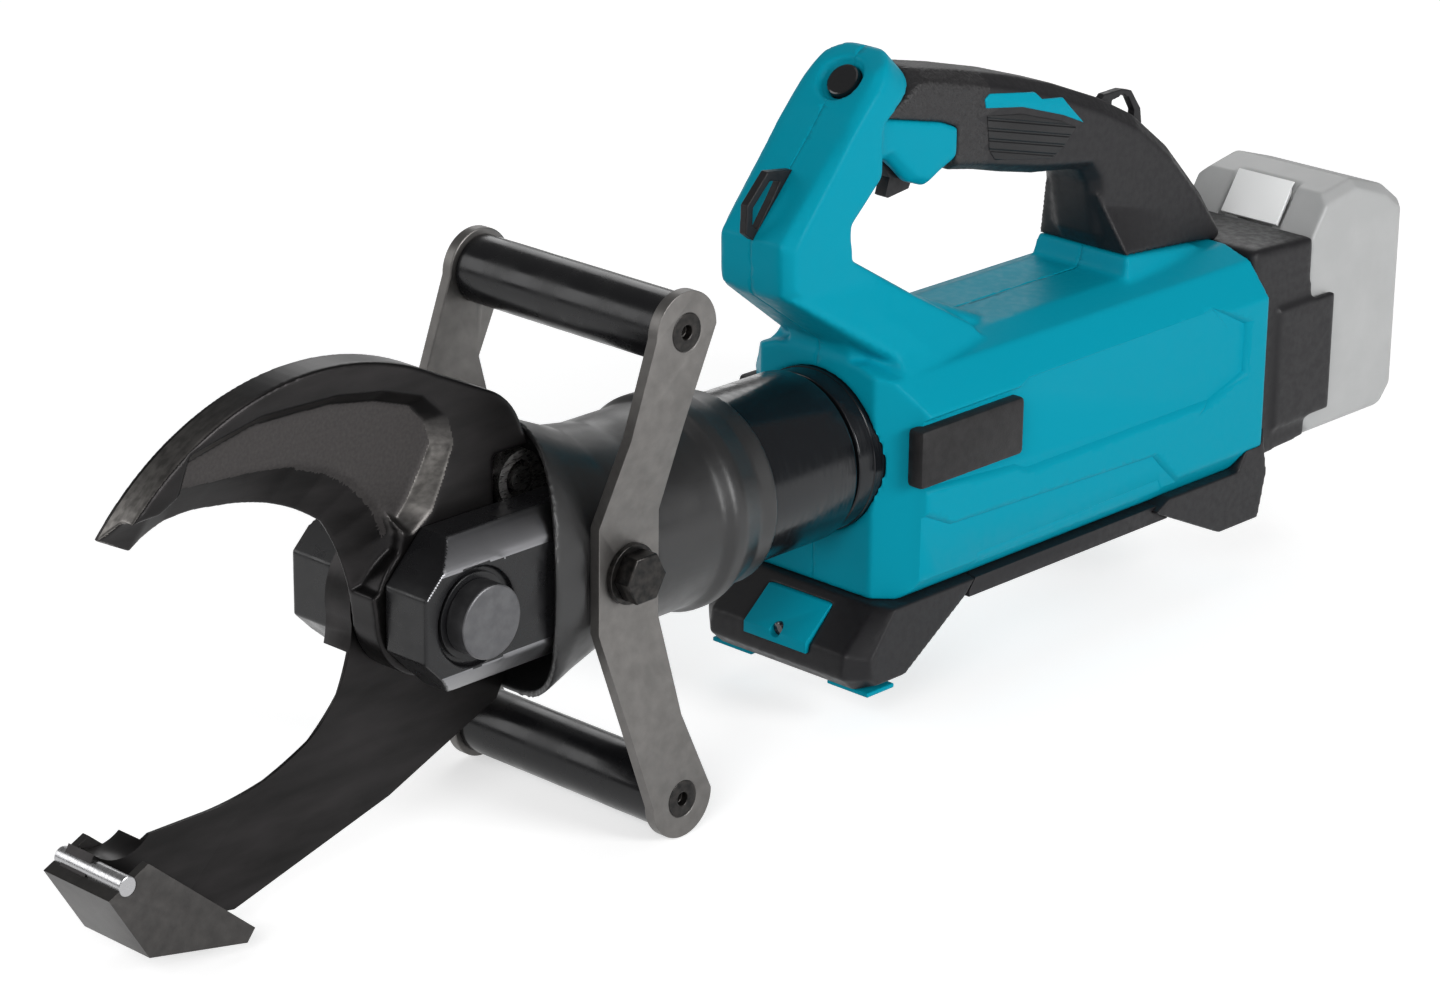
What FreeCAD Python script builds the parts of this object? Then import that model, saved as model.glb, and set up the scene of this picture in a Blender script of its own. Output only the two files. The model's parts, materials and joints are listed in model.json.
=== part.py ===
"""Battery rescue cutter: bypass blades on a fork head, hydraulic cylinder, pump body, D-handle.

Everything is drawn about the blade pivot: X runs forward to the blades, Y across, Z up, and the
cylinder's axis is the X axis.  Writing the files moves the origin to the middle of the
overall box, at its lowest point.
"""
import FreeCAD
import Part
import math
import os
import Sketcher

V = FreeCAD.Vector
doc = FreeCAD.newDocument("rescue_cutter")
sheet = doc.addObject("Spreadsheet::Sheet", "Sizes")


class Size(float):
    """A number that also knows its expression over the sheet's cells."""

    def __new__(cls, value, text):
        number = float.__new__(cls, value)
        number.text = text
        return number

    def __add__(self, other):
        return Size(float(self) + float(other), f"({self.text} + {text_of(other)})")

    def __radd__(self, other):
        return Size(float(other) + float(self), f"({text_of(other)} + {self.text})")

    def __sub__(self, other):
        return Size(float(self) - float(other), f"({self.text} - {text_of(other)})")

    def __rsub__(self, other):
        return Size(float(other) - float(self), f"({text_of(other)} - {self.text})")

    def __mul__(self, other):
        return Size(float(self) * float(other), f"({self.text} * {text_of(other)})")

    def __rmul__(self, other):
        return Size(float(other) * float(self), f"({text_of(other)} * {self.text})")

    def __truediv__(self, other):
        return Size(float(self) / float(other), f"({self.text} / {text_of(other)})")

    def __neg__(self):
        return Size(-float(self), f"(0 - {self.text})")


def text_of(number):
    """The expression text of a size or a plain number."""
    return number.text if isinstance(number, Size) else f"({float(number):.6f})"


def root(number):
    """Square root of a size."""
    return Size(math.sqrt(number), f"sqrt({number.text})")


def cell(alias, value, meaning):
    """Put one driving dimension, in millimetres or degrees, on the sheet."""
    row = cell.row = cell.row + 1
    sheet.set(f"A{row}", alias)
    sheet.set(f"B{row}", str(value))
    sheet.setAlias(f"B{row}", alias)
    sheet.set(f"C{row}", meaning)
    return Size(value, f"Sizes.{alias}")


cell.row = 0


def bind(item, prop, number):
    """Tie a property to the sheet, or set it when it is a plain number."""
    if isinstance(number, Size):
        item.setExpression(prop, number.text)
    else:
        item.setExpression(prop, f"{float(number):.6f}")


subparts = []


def part(node, item):
    """Name a finished object as a sub-part, which gets a file of its own."""
    item.Label = node
    subparts.append(item)
    return item


def draw(sketch, outline):
    """Draw a closed outline of (a, b) corners; (a, b, "via") is a point on an arc between two corners."""
    count = len(outline)
    corners = [i for i in range(count) if len(outline[i]) == 2]
    first = None
    last = None
    for place, i in enumerate(corners):
        j = corners[(place + 1) % len(corners)]
        start = V(outline[i][0], outline[i][1], 0)
        end = V(outline[j][0], outline[j][1], 0)
        via = (i + 1) % count
        if via == j:
            edge = sketch.addGeometry(Part.LineSegment(start, end))
            head, tail = 1, 2
        else:
            middle = V(outline[via][0], outline[via][1], 0)
            circle = Part.Arc(start, middle, end).toShape().Curve
            centre = circle.Center
            clockwise = (middle - start).cross(end - middle).z < 0
            head, tail = (2, 1) if clockwise else (1, 2)
            angles = [math.atan2(spot.y - centre.y, spot.x - centre.x) for spot in (start, end)]
            if clockwise:
                angles.reverse()
            if angles[1] < angles[0]:
                angles[1] += 2 * math.pi
            round_edge = Part.Circle(centre, V(0, 0, 1), circle.Radius)
            edge = sketch.addGeometry(Part.ArcOfCircle(round_edge, angles[0], angles[1]))
            spot = sketch.addGeometry(Part.Point(middle), True)
            pin_down(sketch, spot, 1, outline[via])
            sketch.addConstraint(Sketcher.Constraint("PointOnObject", spot, 1, edge))
        pin_down(sketch, edge, head, outline[i])
        if last is not None:
            sketch.addConstraint(Sketcher.Constraint("Coincident", last[0], last[1], edge, head))
        else:
            first = (edge, head)
        last = (edge, tail)
    sketch.addConstraint(Sketcher.Constraint("Coincident", last[0], last[1], first[0], first[1]))


def pin_down(sketch, geometry, point, place):
    """Dimension a sketch point from the origin, tied to the sheet."""
    for kind, number in (("DistanceX", place[0]), ("DistanceY", place[1])):
        index = sketch.addConstraint(Sketcher.Constraint(kind, -1, 1, geometry, point, float(number)))
        if isinstance(number, Size):
            sketch.setExpression(f"Constraints[{index}]", number.text)


PLANES = {"XZ": ("XZ_Plane", -1), "YZ": ("YZ_Plane", 1), "XY": ("XY_Plane", 1)}


def body_sketch(name, plane, outline, offset=0.0):
    """A body with one sketch on an origin plane; XZ sketches face -Y, so their offset turns sign."""
    role, sign = PLANES[plane]
    body = doc.addObject("PartDesign::Body", name)
    sketch = body.newObject("Sketcher::SketchObject", name + "_outline")
    support = [item for item in body.Origin.OriginFeatures if item.Role == role][0]
    sketch.AttachmentSupport = [(support, "")]
    sketch.MapMode = "FlatFace"
    bind(sketch, "AttachmentOffset.Base.z", sign * offset if sign > 0 else 0.0 - offset)
    draw(sketch, outline)
    return body, sketch


def prism(name, plane, outline, low, high):
    """A body padded from low to high along the plane's normal."""
    body, sketch = body_sketch(name, plane, outline, low)
    pad = body.newObject("PartDesign::Pad", name + "_pad")
    pad.Profile = sketch
    bind(pad, "Length", high - low)
    pad.Reversed = PLANES[plane][1] < 0
    return body


def turned(name, outline):
    """A body turned about the X axis from an outline of (x, radius) corners."""
    body, sketch = body_sketch(name, "XZ", outline)
    turn = body.newObject("PartDesign::Revolution", name + "_turn")
    turn.Profile = sketch
    turn.ReferenceAxis = (sketch, ["H_Axis"])
    turn.Angle = 360
    return body


TURNS = {
    "x": FreeCAD.Rotation(V(0, 1, 0), 90),
    "y": FreeCAD.Rotation(V(1, 0, 0), -90),
    "z": FreeCAD.Rotation(),
}


def place(item, x, y, z):
    """Tie an object's position to the sheet."""
    bind(item, "Placement.Base.x", x)
    bind(item, "Placement.Base.y", y)
    bind(item, "Placement.Base.z", z)
    return item


def rod(name, axis, at, length, radius):
    """A cylinder from the point at, along +axis."""
    item = doc.addObject("Part::Cylinder", name)
    item.Placement = FreeCAD.Placement(V(0, 0, 0), TURNS[axis])
    bind(item, "Radius", radius)
    bind(item, "Height", length)
    return place(item, *at)


def cone(name, axis, at, length, start_radius, end_radius):
    """A cone or taper from the point at, along +axis."""
    item = doc.addObject("Part::Cone", name)
    item.Placement = FreeCAD.Placement(V(0, 0, 0), TURNS[axis])
    bind(item, "Radius1", start_radius)
    bind(item, "Radius2", end_radius)
    bind(item, "Height", length)
    return place(item, *at)


def block(name, low, high):
    """A box between two corners."""
    item = doc.addObject("Part::Box", name)
    bind(item, "Length", high[0] - low[0])
    bind(item, "Width", high[1] - low[1])
    bind(item, "Height", high[2] - low[2])
    return place(item, *low)


def join(name, *items):
    """One solid from several that touch or overlap."""
    item = doc.addObject("Part::MultiFuse", name)
    item.Shapes = list(items)
    item.Refine = True
    return item


def cut(name, base, *tools):
    """The base with every tool taken away."""
    item = doc.addObject("Part::Cut", name)
    item.Base = base
    item.Tool = tools[0] if len(tools) == 1 else join(name + "_tools", *tools)
    item.Refine = True
    return item


def overlap(name, first, second):
    """What two solids share."""
    item = doc.addObject("Part::Common", name)
    item.Base = first
    item.Tool = second
    item.Refine = True
    return item


def group(name, *items):
    """Separate solids kept in one sub-part."""
    item = doc.addObject("Part::Compound", name)
    item.Links = list(items)
    return item


def shaped(name, shape):
    """A solid made with Part's own functions."""
    item = doc.addObject("Part::Feature", name)
    item.Shape = shape
    return item


def lofted(name, rings):
    """A solid with flat sides through closed rings of (x, y, z) corners."""
    wires = [Part.makePolygon([V(*spot) for spot in ring + ring[:1]]) for ring in rings]
    return shaped(name, Part.makeLoft(wires, True, True))


def bevelled(name, outline, inner_outline, flat_half, half):
    """A side profile padded across the tool, drawn in to the inner outline at both sides."""
    return lofted(name, [[(x, y, z) for x, z in ring]
                         for y, ring in ((-half, inner_outline), (-flat_half, outline),
                                         (flat_half, outline), (half, inner_outline))])


# ---- fits shared by several pieces
run_gap = cell("run_gap", 0.3, "clearance between pieces that slide past each other")
pin_fit = cell("pin_fit", 0.05, "radial clearance of a turning pin")
seat_fit = cell("seat_fit", 0.02, "radial clearance of a pin, screw or spigot fixed in its hole")

# ---- blades: two flat plates that pass each other on the plane y = 0
blade_thick = cell("blade_thick", 14.7, "thickness of each blade")
shear_gap = cell("shear_gap", 0.15, "each blade's distance from the shear plane")
hub_radius = cell("hub_radius", 30.5, "round boss of each blade at the pivot")
pivot_radius = cell("pivot_radius", 15.0, "radius of the pivot pin")
link_pin_back = cell("link_pin_back", 46.0, "link pin behind the pivot")
link_pin_rise = cell("link_pin_rise", 38.0, "link pin above or below the pivot")
tail_radius = cell("tail_radius", 12.0, "round end of each blade's tail")
link_pin_radius = cell("link_pin_radius", 5.0, "radius of the pins through the tails")
tail_thick = cell("tail_thick", 7.1, "thickness of the tail beside its link")
tail_step = cell("tail_step", 31.5, "where the full blade thickness ends, behind the pivot")
throat_depth = cell("throat_depth", 46.0, "where the cutting edge turns from throat to reach")
blade_reach = cell("blade_reach", 153.0, "tip of the upper blade in front of the pivot")
tip_height = cell("tip_height", 62.0, "upper blade's tip above the pivot when open")
crown_height = cell("crown_height", 104.5, "highest point of the upper blade when open")
edge_height = cell("edge_height", 60.5, "height of the open cutting edges from the axis")

blade_face = shear_gap + blade_thick
tail_end = link_pin_back + tail_radius


def blade_blank(name, outline, low, high):
    """A blade profile padded to its thickness, bored at the pivot and thinned at the tail."""
    plate = prism(name + "_plate", "XZ", outline, low, high)
    bore = rod(name + "_bore", "y", (0, low - 1, 0), high - low + 2, pivot_radius + pin_fit)
    return plate, bore


def ground(name, edge, start, side):
    """The wedge ground off one face of a blade, from its cutting edge back to the start line."""
    return lofted(name, [[(ex, side * 0.6, ez), (sx, side * 9.2, sz), (sx, side * 17, sz), (ex, side * 17, ez)]
                         for (ex, ez), (sx, sz) in zip(edge, start)])


upper_outline = [
    (-28.6, 10.6), (0, -hub_radius, "via"), (hub_radius - 0.1, -2),
    (36, 22, "via"), (throat_depth, 41),
    (69, 54, "via"), (98, edge_height),
    (117, 61.5, "via"), (133, 58),
    (blade_reach - 15, tip_height - 8), (blade_reach, tip_height),
    (82, crown_height, "via"), (-3, 91),
    (-30, 78), (-41, 70, "via"), (-47, 59),
    (-tail_end, link_pin_rise),
    (-(link_pin_back + tail_radius * 0.7071), link_pin_rise - tail_radius * 0.7071, "via"),
    (-link_pin_back, link_pin_rise - tail_radius),
]
plate, bore = blade_blank("upper_blade", upper_outline, shear_gap, blade_face)
tail_relief = block("upper_tail_relief", (-(tail_end + 10), shear_gap + tail_thick, -5),
                    (-tail_step, blade_face + 1, link_pin_rise + tail_radius + 1))
link_bore = rod("upper_link_bore", "y", (-link_pin_back, 0, link_pin_rise), blade_thick, link_pin_radius + seat_fit)
ridge_height = cell("ridge_height", 6.2, "depth of the cast pocket in the upper blade's side")
pocket_floor = [(116, 84), (84, 91), (48, 90), (26, 86), (8, 80), (0, 71), (-3, 62), (3, 52), (10, 42), (15, 36),
                (22, 42), (34, 58), (50, 66), (72, 71.5), (99, 72.5), (121, 76)]
pocket_rim = [(119, 90), (84, 96.5), (47, 95.5), (23.5, 91.5), (3.5, 84.5), (-7.5, 74.5), (-10.5, 62),
              (-5.5, 49.5), (0.5, 36.5), (11, 29.5), (26, 36), (36, 50), (52, 56), (74, 60), (99, 62), (128, 66)]
pocket_floor_face = blade_face - ridge_height
pocket = lofted("upper_pocket", [[(x, pocket_floor_face, z) for x, z in pocket_floor],
                                 [(x, blade_face + 0.5, z) for x, z in pocket_rim]])
upper_bevel = ground("upper_bevel", [(157, 62), (139, 51), (122, 59.5), (106, 60), (90, 57), (74, 52.5), (61, 47),
                                     (51, 40), (43, 31), (38.5, 21), (34, 8)],
                     [(152, 69), (133, 70), (120, 76.5), (103, 75), (82, 74), (62, 71.5), (46, 66), (33, 57),
                      (22.5, 45), (17, 32), (20, 16)], 1)
hub_solid = rod("upper_hub", "y", (0, shear_gap, 0), blade_thick, hub_radius)
part("upper_blade", cut("upper_blade_cut", join("upper_blade_join", cut("upper_ground", plate, upper_bevel, pocket),
                                                hub_solid), bore, tail_relief, link_bore))
part("upper_link_pin", rod("upper_link_pin_rod", "y", (-link_pin_back, shear_gap, link_pin_rise),
                           blade_thick, link_pin_radius))

# ---- lower blade: carries the tip guard, which catches the upper tip as the jaws close
guard_pin_x = cell("guard_pin_x", 158.0, "front guard pin in front of the pivot")
guard_pin_drop = cell("guard_pin_drop", 67.0, "front guard pin below the pivot")
guard_pin_radius = cell("guard_pin_radius", 4.0, "radius of the guard pins")
heel_pin_x = cell("heel_pin_x", 126.0, "rear guard pin in front of the pivot")
heel_pin_drop = cell("heel_pin_drop", 97.0, "rear guard pin below the pivot")
lower_outline = [
    (-28.6, -10.6), (0, hub_radius, "via"), (hub_radius - 0.1, 2),
    (35, -27, "via"), (throat_depth + 6, -47),
    (76, -57, "via"), (105, -edge_height),
    (132, -edge_height), (145, -66, "via"), (guard_pin_x, -(guard_pin_drop - 6.5)),
    (guard_pin_x + 6, -(guard_pin_drop + 3)),
    (144, -96), (92, -105),
    (12, -83), (-46, -59),
    (-tail_end, -link_pin_rise),
    (-(link_pin_back + tail_radius * 0.7071), tail_radius * 0.7071 - link_pin_rise, "via"),
    (-link_pin_back, tail_radius - link_pin_rise),
]
plate, bore = blade_blank("lower_blade", lower_outline, -blade_face, -shear_gap)
tail_relief = block("lower_tail_relief", (-(tail_end + 10), -(blade_face + 1), -(link_pin_rise + tail_radius + 1)),
                    (-tail_step, -(shear_gap + tail_thick), 5))
link_bore = rod("lower_link_bore", "y", (-link_pin_back, -blade_thick, -link_pin_rise), blade_thick,
                link_pin_radius + seat_fit)
guard_bores = [
    rod("front_guard_bore", "y", (guard_pin_x, -blade_face - 1, -guard_pin_drop), blade_thick + 2,
        guard_pin_radius + seat_fit),
    rod("heel_guard_bore", "y", (heel_pin_x, -blade_face - 1, -heel_pin_drop), blade_thick + 2,
        guard_pin_radius + seat_fit),
]
lower_bevel = ground("lower_bevel", [(134, -58.5), (105, -58.5), (76, -55), (54, -46), (39, -32), (34, -16)],
                     [(136, -76), (103, -76), (70, -71.5), (43, -60), (22, -42), (17, -24)], -1)
hub_solid = rod("lower_hub", "y", (0, -blade_face, 0), blade_thick, hub_radius)
part("lower_blade", cut("lower_blade_cut", join("lower_blade_join", cut("lower_ground", plate, lower_bevel),
                                                hub_solid), bore, tail_relief, link_bore, *guard_bores))
part("lower_link_pin", rod("lower_link_pin_rod", "y", (-link_pin_back, -blade_face, -link_pin_rise),
                           blade_thick, link_pin_radius))

guard_half = cell("guard_half", 19.0, "half width of the tip guard")
cheek_thick = cell("cheek_thick", 3.6, "thickness of the guard's cheeks")
guard_outline = [(148, -61), (167, -70), (149, -99), (102, -109), (98, -104)]
nose_back_outline = [(134, -40), (161.4, -69.2), (144.8, -97.0), (95, -125), (80, -60)]
guard_block = prism("guard_block", "XZ", guard_outline, -guard_half, guard_half)
guard_hollow = prism("guard_hollow", "XZ", nose_back_outline, -(guard_half - cheek_thick),
                     guard_half - cheek_thick)
cheek_bores = [
    rod("front_cheek_bore", "y", (guard_pin_x, -guard_half - 1, -guard_pin_drop), guard_half * 2 + 2,
        guard_pin_radius + seat_fit),
    rod("heel_cheek_bore", "y", (heel_pin_x, -guard_half - 1, -heel_pin_drop), guard_half,
        guard_pin_radius + seat_fit),
]
blade_room = prism("guard_blade_room", "XZ", lower_outline, -blade_face, -shear_gap)
part("tip_guard", cut("tip_guard_cut", guard_block, guard_hollow, blade_room, *cheek_bores))
part("guard_pins", group(
    "guard_pins_group",
    rod("front_guard_pin", "y", (guard_pin_x, -guard_half, -guard_pin_drop), guard_half * 2, guard_pin_radius),
    rod("heel_guard_pin", "y", (heel_pin_x, -guard_half, -heel_pin_drop), guard_half - shear_gap,
        guard_pin_radius),
))

# ---- fork head: turned steel, slotted for the blades, the tails and the crosshead
fork_radius = cell("fork_radius", 43.5, "turned radius of the fork head")
neck_radius = cell("neck_radius", 40.0, "turned radius of the fork's neck, under the boot")
fork_flat = cell("fork_flat", 38.0, "side flats of the fork from the axis")
fork_level = cell("fork_level", 32.0, "top and bottom flats of the fork from the axis")
fork_nose = cell("fork_nose", 26.5, "front face of the fork in front of the pivot")
nose_half = cell("nose_half", 13.0, "half height of the fork's front face")
nose_slope = cell("nose_slope", 19.0, "length of the slopes behind the front face")
slot_half = cell("slot_half", 15.15, "half width of the fork's slot")
slot_end = cell("slot_end", 117.0, "bottom of the slot behind the pivot")
fork_end = cell("fork_end", 121.0, "rear face of the fork behind the pivot")
spigot_end = cell("spigot_end", 140.0, "rear of the gland that enters the cylinder")
bore_radius = cell("bore_radius", 31.0, "bore of the hydraulic cylinder")
rod_radius = cell("rod_radius", 10.0, "radius of the piston rod")
pin_seat = cell("pin_seat", 35.0, "spot face under the pin head from the axis")
pin_seat_radius = cell("pin_seat_radius", 20.0, "radius of the spot face")
pin_end = cell("pin_end", 46.5, "end faces of the pivot pin from the axis")
bolt_back = cell("bolt_back", 73.5, "loop bolts behind the pivot")
bolt_radius = cell("bolt_radius", 6.0, "radius of the loop bolts")
bolt_depth = cell("bolt_depth", 16.0, "how deep the loop bolts are screwed in")

fork_blank = turned("fork_blank", [
    (-spigot_end, 0), (-spigot_end, bore_radius - seat_fit), (-fork_end, bore_radius - seat_fit),
    (-fork_end, neck_radius), (-(fork_end - 28), neck_radius), (-(fork_end - 40), fork_radius),
    (fork_nose, fork_radius), (fork_nose, 0),
])
fork_side = prism("fork_side", "XZ", [
    (fork_nose, nose_half), (fork_nose - nose_slope, fork_level), (-(fork_end - 40), fork_level),
    (-(fork_end - 28), fork_radius + 1), (-spigot_end - 1, fork_radius + 1),
    (-spigot_end - 1, -fork_radius - 1), (-(fork_end - 28), -fork_radius - 1),
    (-(fork_end - 40), -fork_level), (fork_nose - nose_slope, -fork_level), (fork_nose, -nose_half),
], -fork_flat, fork_flat)
fork_solid = overlap("fork_solid", fork_blank, fork_side)
slot = block("fork_slot", (-slot_end, -slot_half, -fork_radius - 1), (fork_nose + 1, slot_half, fork_radius + 1))
fork_tools = [
    slot,
    rod("fork_pin_bore", "y", (0, -fork_radius, 0), fork_radius * 2, pivot_radius + seat_fit),
    rod("gland_bore", "x", (-spigot_end - 1, 0, 0), spigot_end - slot_end + 2, rod_radius + pin_fit),
]
for side, sign in (("left", -1), ("right", 1)):
    start = pin_seat if sign > 0 else -(pin_seat + 10)
    fork_tools.append(rod(f"pin_seat_{side}", "y", (0, start, 0), 10, pin_seat_radius))
    start = fork_flat - bolt_depth if sign > 0 else -(fork_flat + 1)
    fork_tools.append(rod(f"bolt_hole_{side}", "y", (-bolt_back, start, 0), bolt_depth + 1,
                          bolt_radius + seat_fit))
part("fork_head", cut("fork_head_cut", fork_solid, *fork_tools))

# ---- pivot pin: runs through both cheeks and both blades, kept by a ring in a groove at each end
ring_groove = cell("ring_groove", 1.6, "width of the retaining rings")
ring_radius = cell("ring_radius", 17.5, "outer radius of the retaining rings")
groove_radius = cell("groove_radius", 13.5, "radius of the pin at the bottom of its ring grooves")
pin_round = rod("pin_round", "y", (0, -pin_end, 0), pin_end * 2, pivot_radius)
grooves = []
ring_parts = []
for side, sign in (("left", -1), ("right", 1)):
    low = pin_seat if sign > 0 else -(pin_seat + ring_groove)
    band = rod(f"groove_band_{side}", "y", (0, low, 0), ring_groove, ring_radius + 1)
    core = rod(f"groove_core_{side}", "y", (0, low - 1, 0), ring_groove + 2, groove_radius)
    grooves.append(cut(f"groove_{side}", band, core))
    ring = rod(f"ring_disc_{side}", "y", (0, low, 0), ring_groove, ring_radius)
    eye = rod(f"ring_eye_{side}", "y", (0, low - 1, 0), ring_groove + 2, groove_radius + seat_fit)
    ring_parts.append(cut(f"ring_{side}", ring, eye))
part("pivot_pin", cut("pivot_pin_cut", pin_round, *grooves))
part("pin_rings", group("pin_rings_group", *ring_parts))

# ---- crosshead, links, piston: the rod's tongue pulls a link to each blade's tail
link_length = cell("link_length", 68.0, "between the two eyes of a link")
tongue_half = cell("tongue_half", 7.25, "half thickness of the rod's tongue")
link_thick = cell("link_thick", 6.6, "thickness of each link")
eye_radius = cell("eye_radius", 11.5, "round end of each link")
cross_pin_radius = cell("cross_pin_radius", 5.5, "radius of the crosshead pin")
open_eye_gap = cell("open_eye_gap", 2.3, "play of the link's eye on the tail pin")
piston_length = cell("piston_length", 18.0, "length of the piston")
piston_gap = cell("piston_gap", 54.0, "free travel between piston and gland")
cross_back = root(link_length * link_length - link_pin_rise * link_pin_rise) + link_pin_back
tongue = block("tongue_block", (-(cross_back + 13), -tongue_half, -10.0), (-cross_back, tongue_half, 10.0))
tongue_end = rod("tongue_end", "y", (-cross_back, -tongue_half, 0), tongue_half * 2, 10.0)
piston_back = spigot_end + piston_gap + piston_length
stem = rod("piston_stem", "x", (-(piston_back - 2), 0, 0), piston_back - 2 - cross_back - 12.2, rod_radius)
cross_bore = rod("cross_bore", "y", (-cross_back, -20, 0), 40, cross_pin_radius + seat_fit)
part("piston_rod", cut("piston_rod_cut", join("piston_rod_join", tongue, tongue_end, stem), cross_bore))
link_low = tongue_half + run_gap
part("crosshead_pin", rod("crosshead_pin_rod", "y", (-cross_back, -(link_low + link_thick), 0),
                          (link_low + link_thick) * 2, cross_pin_radius))
piston_disc = rod("piston_disc", "x", (-piston_back, 0, 0), piston_length, bore_radius - pin_fit)
piston_seat = rod("piston_seat", "x", (-(piston_back - 2), 0, 0), piston_length, rod_radius + seat_fit)
part("piston", cut("piston_cut", piston_disc, piston_seat))

link_angle = math.degrees(math.asin(link_pin_rise / link_length))
for node, sign in (("upper_link", 1), ("lower_link", -1)):
    low = link_low if sign > 0 else -(link_low + link_thick)
    bar = block(node + "_bar", (0.0, low, -8.0), (link_length, low + link_thick, 8.0))
    ends = [rod(f"{node}_{spot}_end", "y", (along, low, 0), link_thick, radius)
            for spot, along, radius in (("rear", 0.0, eye_radius), ("front", link_length, eye_radius))]
    holes = [
        rod(node + "_rear_hole", "y", (0.0, low - 1, 0), link_thick + 2, cross_pin_radius + pin_fit),
        rod(node + "_front_hole", "y", (link_length, low - 1, 0), link_thick + 2,
            link_pin_radius + open_eye_gap),
    ]
    link = part(node, cut(node + "_cut", join(node + "_join", bar, *ends), *holes))
    link.Placement = FreeCAD.Placement(V(0, 0, 0), FreeCAD.Rotation(V(0, 1, 0), -sign * link_angle))
    bind(link, "Placement.Base.x", -cross_back)

# ---- hydraulic cylinder, its collar and the rubber boot over the fork's neck
tube_radius = cell("tube_radius", 37.2, "outer radius of the hydraulic cylinder")
tail_tube_radius = cell("tail_tube_radius", 33.5, "radius of the cylinder's tail, inside the collar")
tube_shoulder = cell("tube_shoulder", 219.0, "end of the full tube radius behind the pivot")
tube_end = cell("tube_end", 250.0, "rear face of the tube behind the pivot")
collar_radius = cell("collar_radius", 35.5, "outer radius of the collar")
collar_front = cell("collar_front", 221.0, "front face of the collar behind the pivot")
collar_end = cell("collar_end", 246.0, "rear face of the collar behind the pivot")
part("cylinder_tube", turned("cylinder_tube_turned", [
    (-fork_end, bore_radius), (-fork_end, tube_radius), (-(tube_shoulder - 2), tube_radius),
    (-tube_shoulder, tube_radius - 2), (-tube_shoulder, tail_tube_radius),
    (-tube_end, tail_tube_radius), (-tube_end, bore_radius),
]))
part("cylinder_collar", turned("cylinder_collar_turned", [
    (-collar_front, tail_tube_radius + seat_fit), (-collar_front, collar_radius - 0.5),
    (-(collar_front + 0.5), collar_radius), (-collar_end, collar_radius),
    (-collar_end, tail_tube_radius + seat_fit),
]))

boot_width = cell("boot_width", 44.0, "half width of the boot's front rim")
boot_height = cell("boot_height", 60.0, "half height of the boot's front rim")
boot_wall = cell("boot_wall", 3.0, "wall of the boot")
boot_front = cell("boot_front", 53.0, "boot's rim above and below the axis, behind the pivot")
boot_sweep = cell("boot_sweep", 18.0, "how far the rim's sides reach forward of its top")
boot_bead = cell("boot_bead", 46.0, "radius of the boot's rear bead")
boot_end = cell("boot_end", 165.0, "rear rim of the boot behind the pivot")
boot_end_radius = cell("boot_end_radius", 41.5, "outer radius of the boot's rear rim")


def oval(name, stations):
    """A smooth solid through upright ovals, each (distance behind the pivot, half width, half height)."""
    wires = []
    for back, wide, tall in stations:
        if tall > wide:
            curve = Part.Ellipse(V(-back, 0, tall), V(-back, wide, 0), V(-back, 0, 0))
        else:
            curve = Part.Circle(V(-back, 0, 0), V(1, 0, 0), wide)
        wires.append(Part.Wire([curve.toShape()]))
    return shaped(name, Part.makeLoft(wires, True, True))


boot_sides = [(34, boot_width, boot_height + 5), (50, boot_width, boot_height),
              (62, boot_width - 0.4, boot_height - 6), (78, boot_width - 0.5, boot_height - 13),
              (98, boot_width - 0.5, boot_width - 0.5)]
boot_skin = join(
    "boot_skin", oval("boot_oval", boot_sides),
    turned("boot_round", [
        (-97, 0), (-97, boot_width - 0.5), (-131, boot_width - 0.5), (-136, boot_bead),
        (-142, boot_bead), (-(boot_end - 10), boot_end_radius), (-boot_end, boot_end_radius), (-boot_end, 0),
    ]),
)
boot_hollow = oval("boot_hollow", [(back, wide - boot_wall, tall - boot_wall) for back, wide, tall in
                                   [(33, boot_width, boot_height + 5.3)] + boot_sides[1:4]])
rim_cut = prism("boot_rim_cut", "XY", [
    (-boot_front, 0), (-(boot_front - boot_sweep / 4), boot_width / 2, "via"),
    (-(boot_front - boot_sweep), boot_width + 1), (0, boot_width + 1), (0, -boot_width - 1),
    (-(boot_front - boot_sweep), -boot_width - 1), (-(boot_front - boot_sweep / 4), -boot_width / 2, "via"),
], -90, 90)

# ---- loop handle: two bent plates bolted to the fork through the boot, two tubes between their ends
loop_inner = cell("loop_inner", 41.7, "inner face of the loop plates at the bolts, from the axis")
loop_thick = cell("loop_thick", 5.0, "thickness of the loop plates")
loop_flare = cell("loop_flare", 13.3, "how far the plates step out to the tubes")
loop_flat_half = cell("loop_flat_half", 22.2, "half height of the plates' middle flat")
loop_knee = cell("loop_knee", 61.0, "height where the plates turn upright again")
loop_height = cell("loop_height", 98.0, "loop tubes above and below the axis")
loop_back = cell("loop_back", 91.0, "loop tubes behind the pivot")
loop_eye = cell("loop_eye", 16.5, "round ends of the loop plates")
loop_tube_radius = cell("loop_tube_radius", 14.0, "radius of the loop tubes")
loop_screw_radius = cell("loop_screw_radius", 4.0, "radius of the loop screws")
plate_wide = cell("plate_wide", 16.5, "half width of the plates at the bolts")
washer_thick = cell("washer_thick", 2.5, "thickness of the loop washers")
bolt_head = cell("bolt_head", 7.5, "height of the loop bolts' heads")
bolt_flats = cell("bolt_flats", 19.0, "across flats of the loop bolts")
loop_outer = loop_inner + loop_thick
tube_half = loop_inner + loop_flare
side_half = tube_half + loop_thick
plate_top = loop_height + loop_eye + 2
screw_span = cell("screw_span", 26.0, "length of the loop screws")
screw_head_radius = cell("screw_head_radius", 8.0, "radius of the loop screws' heads")
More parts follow.
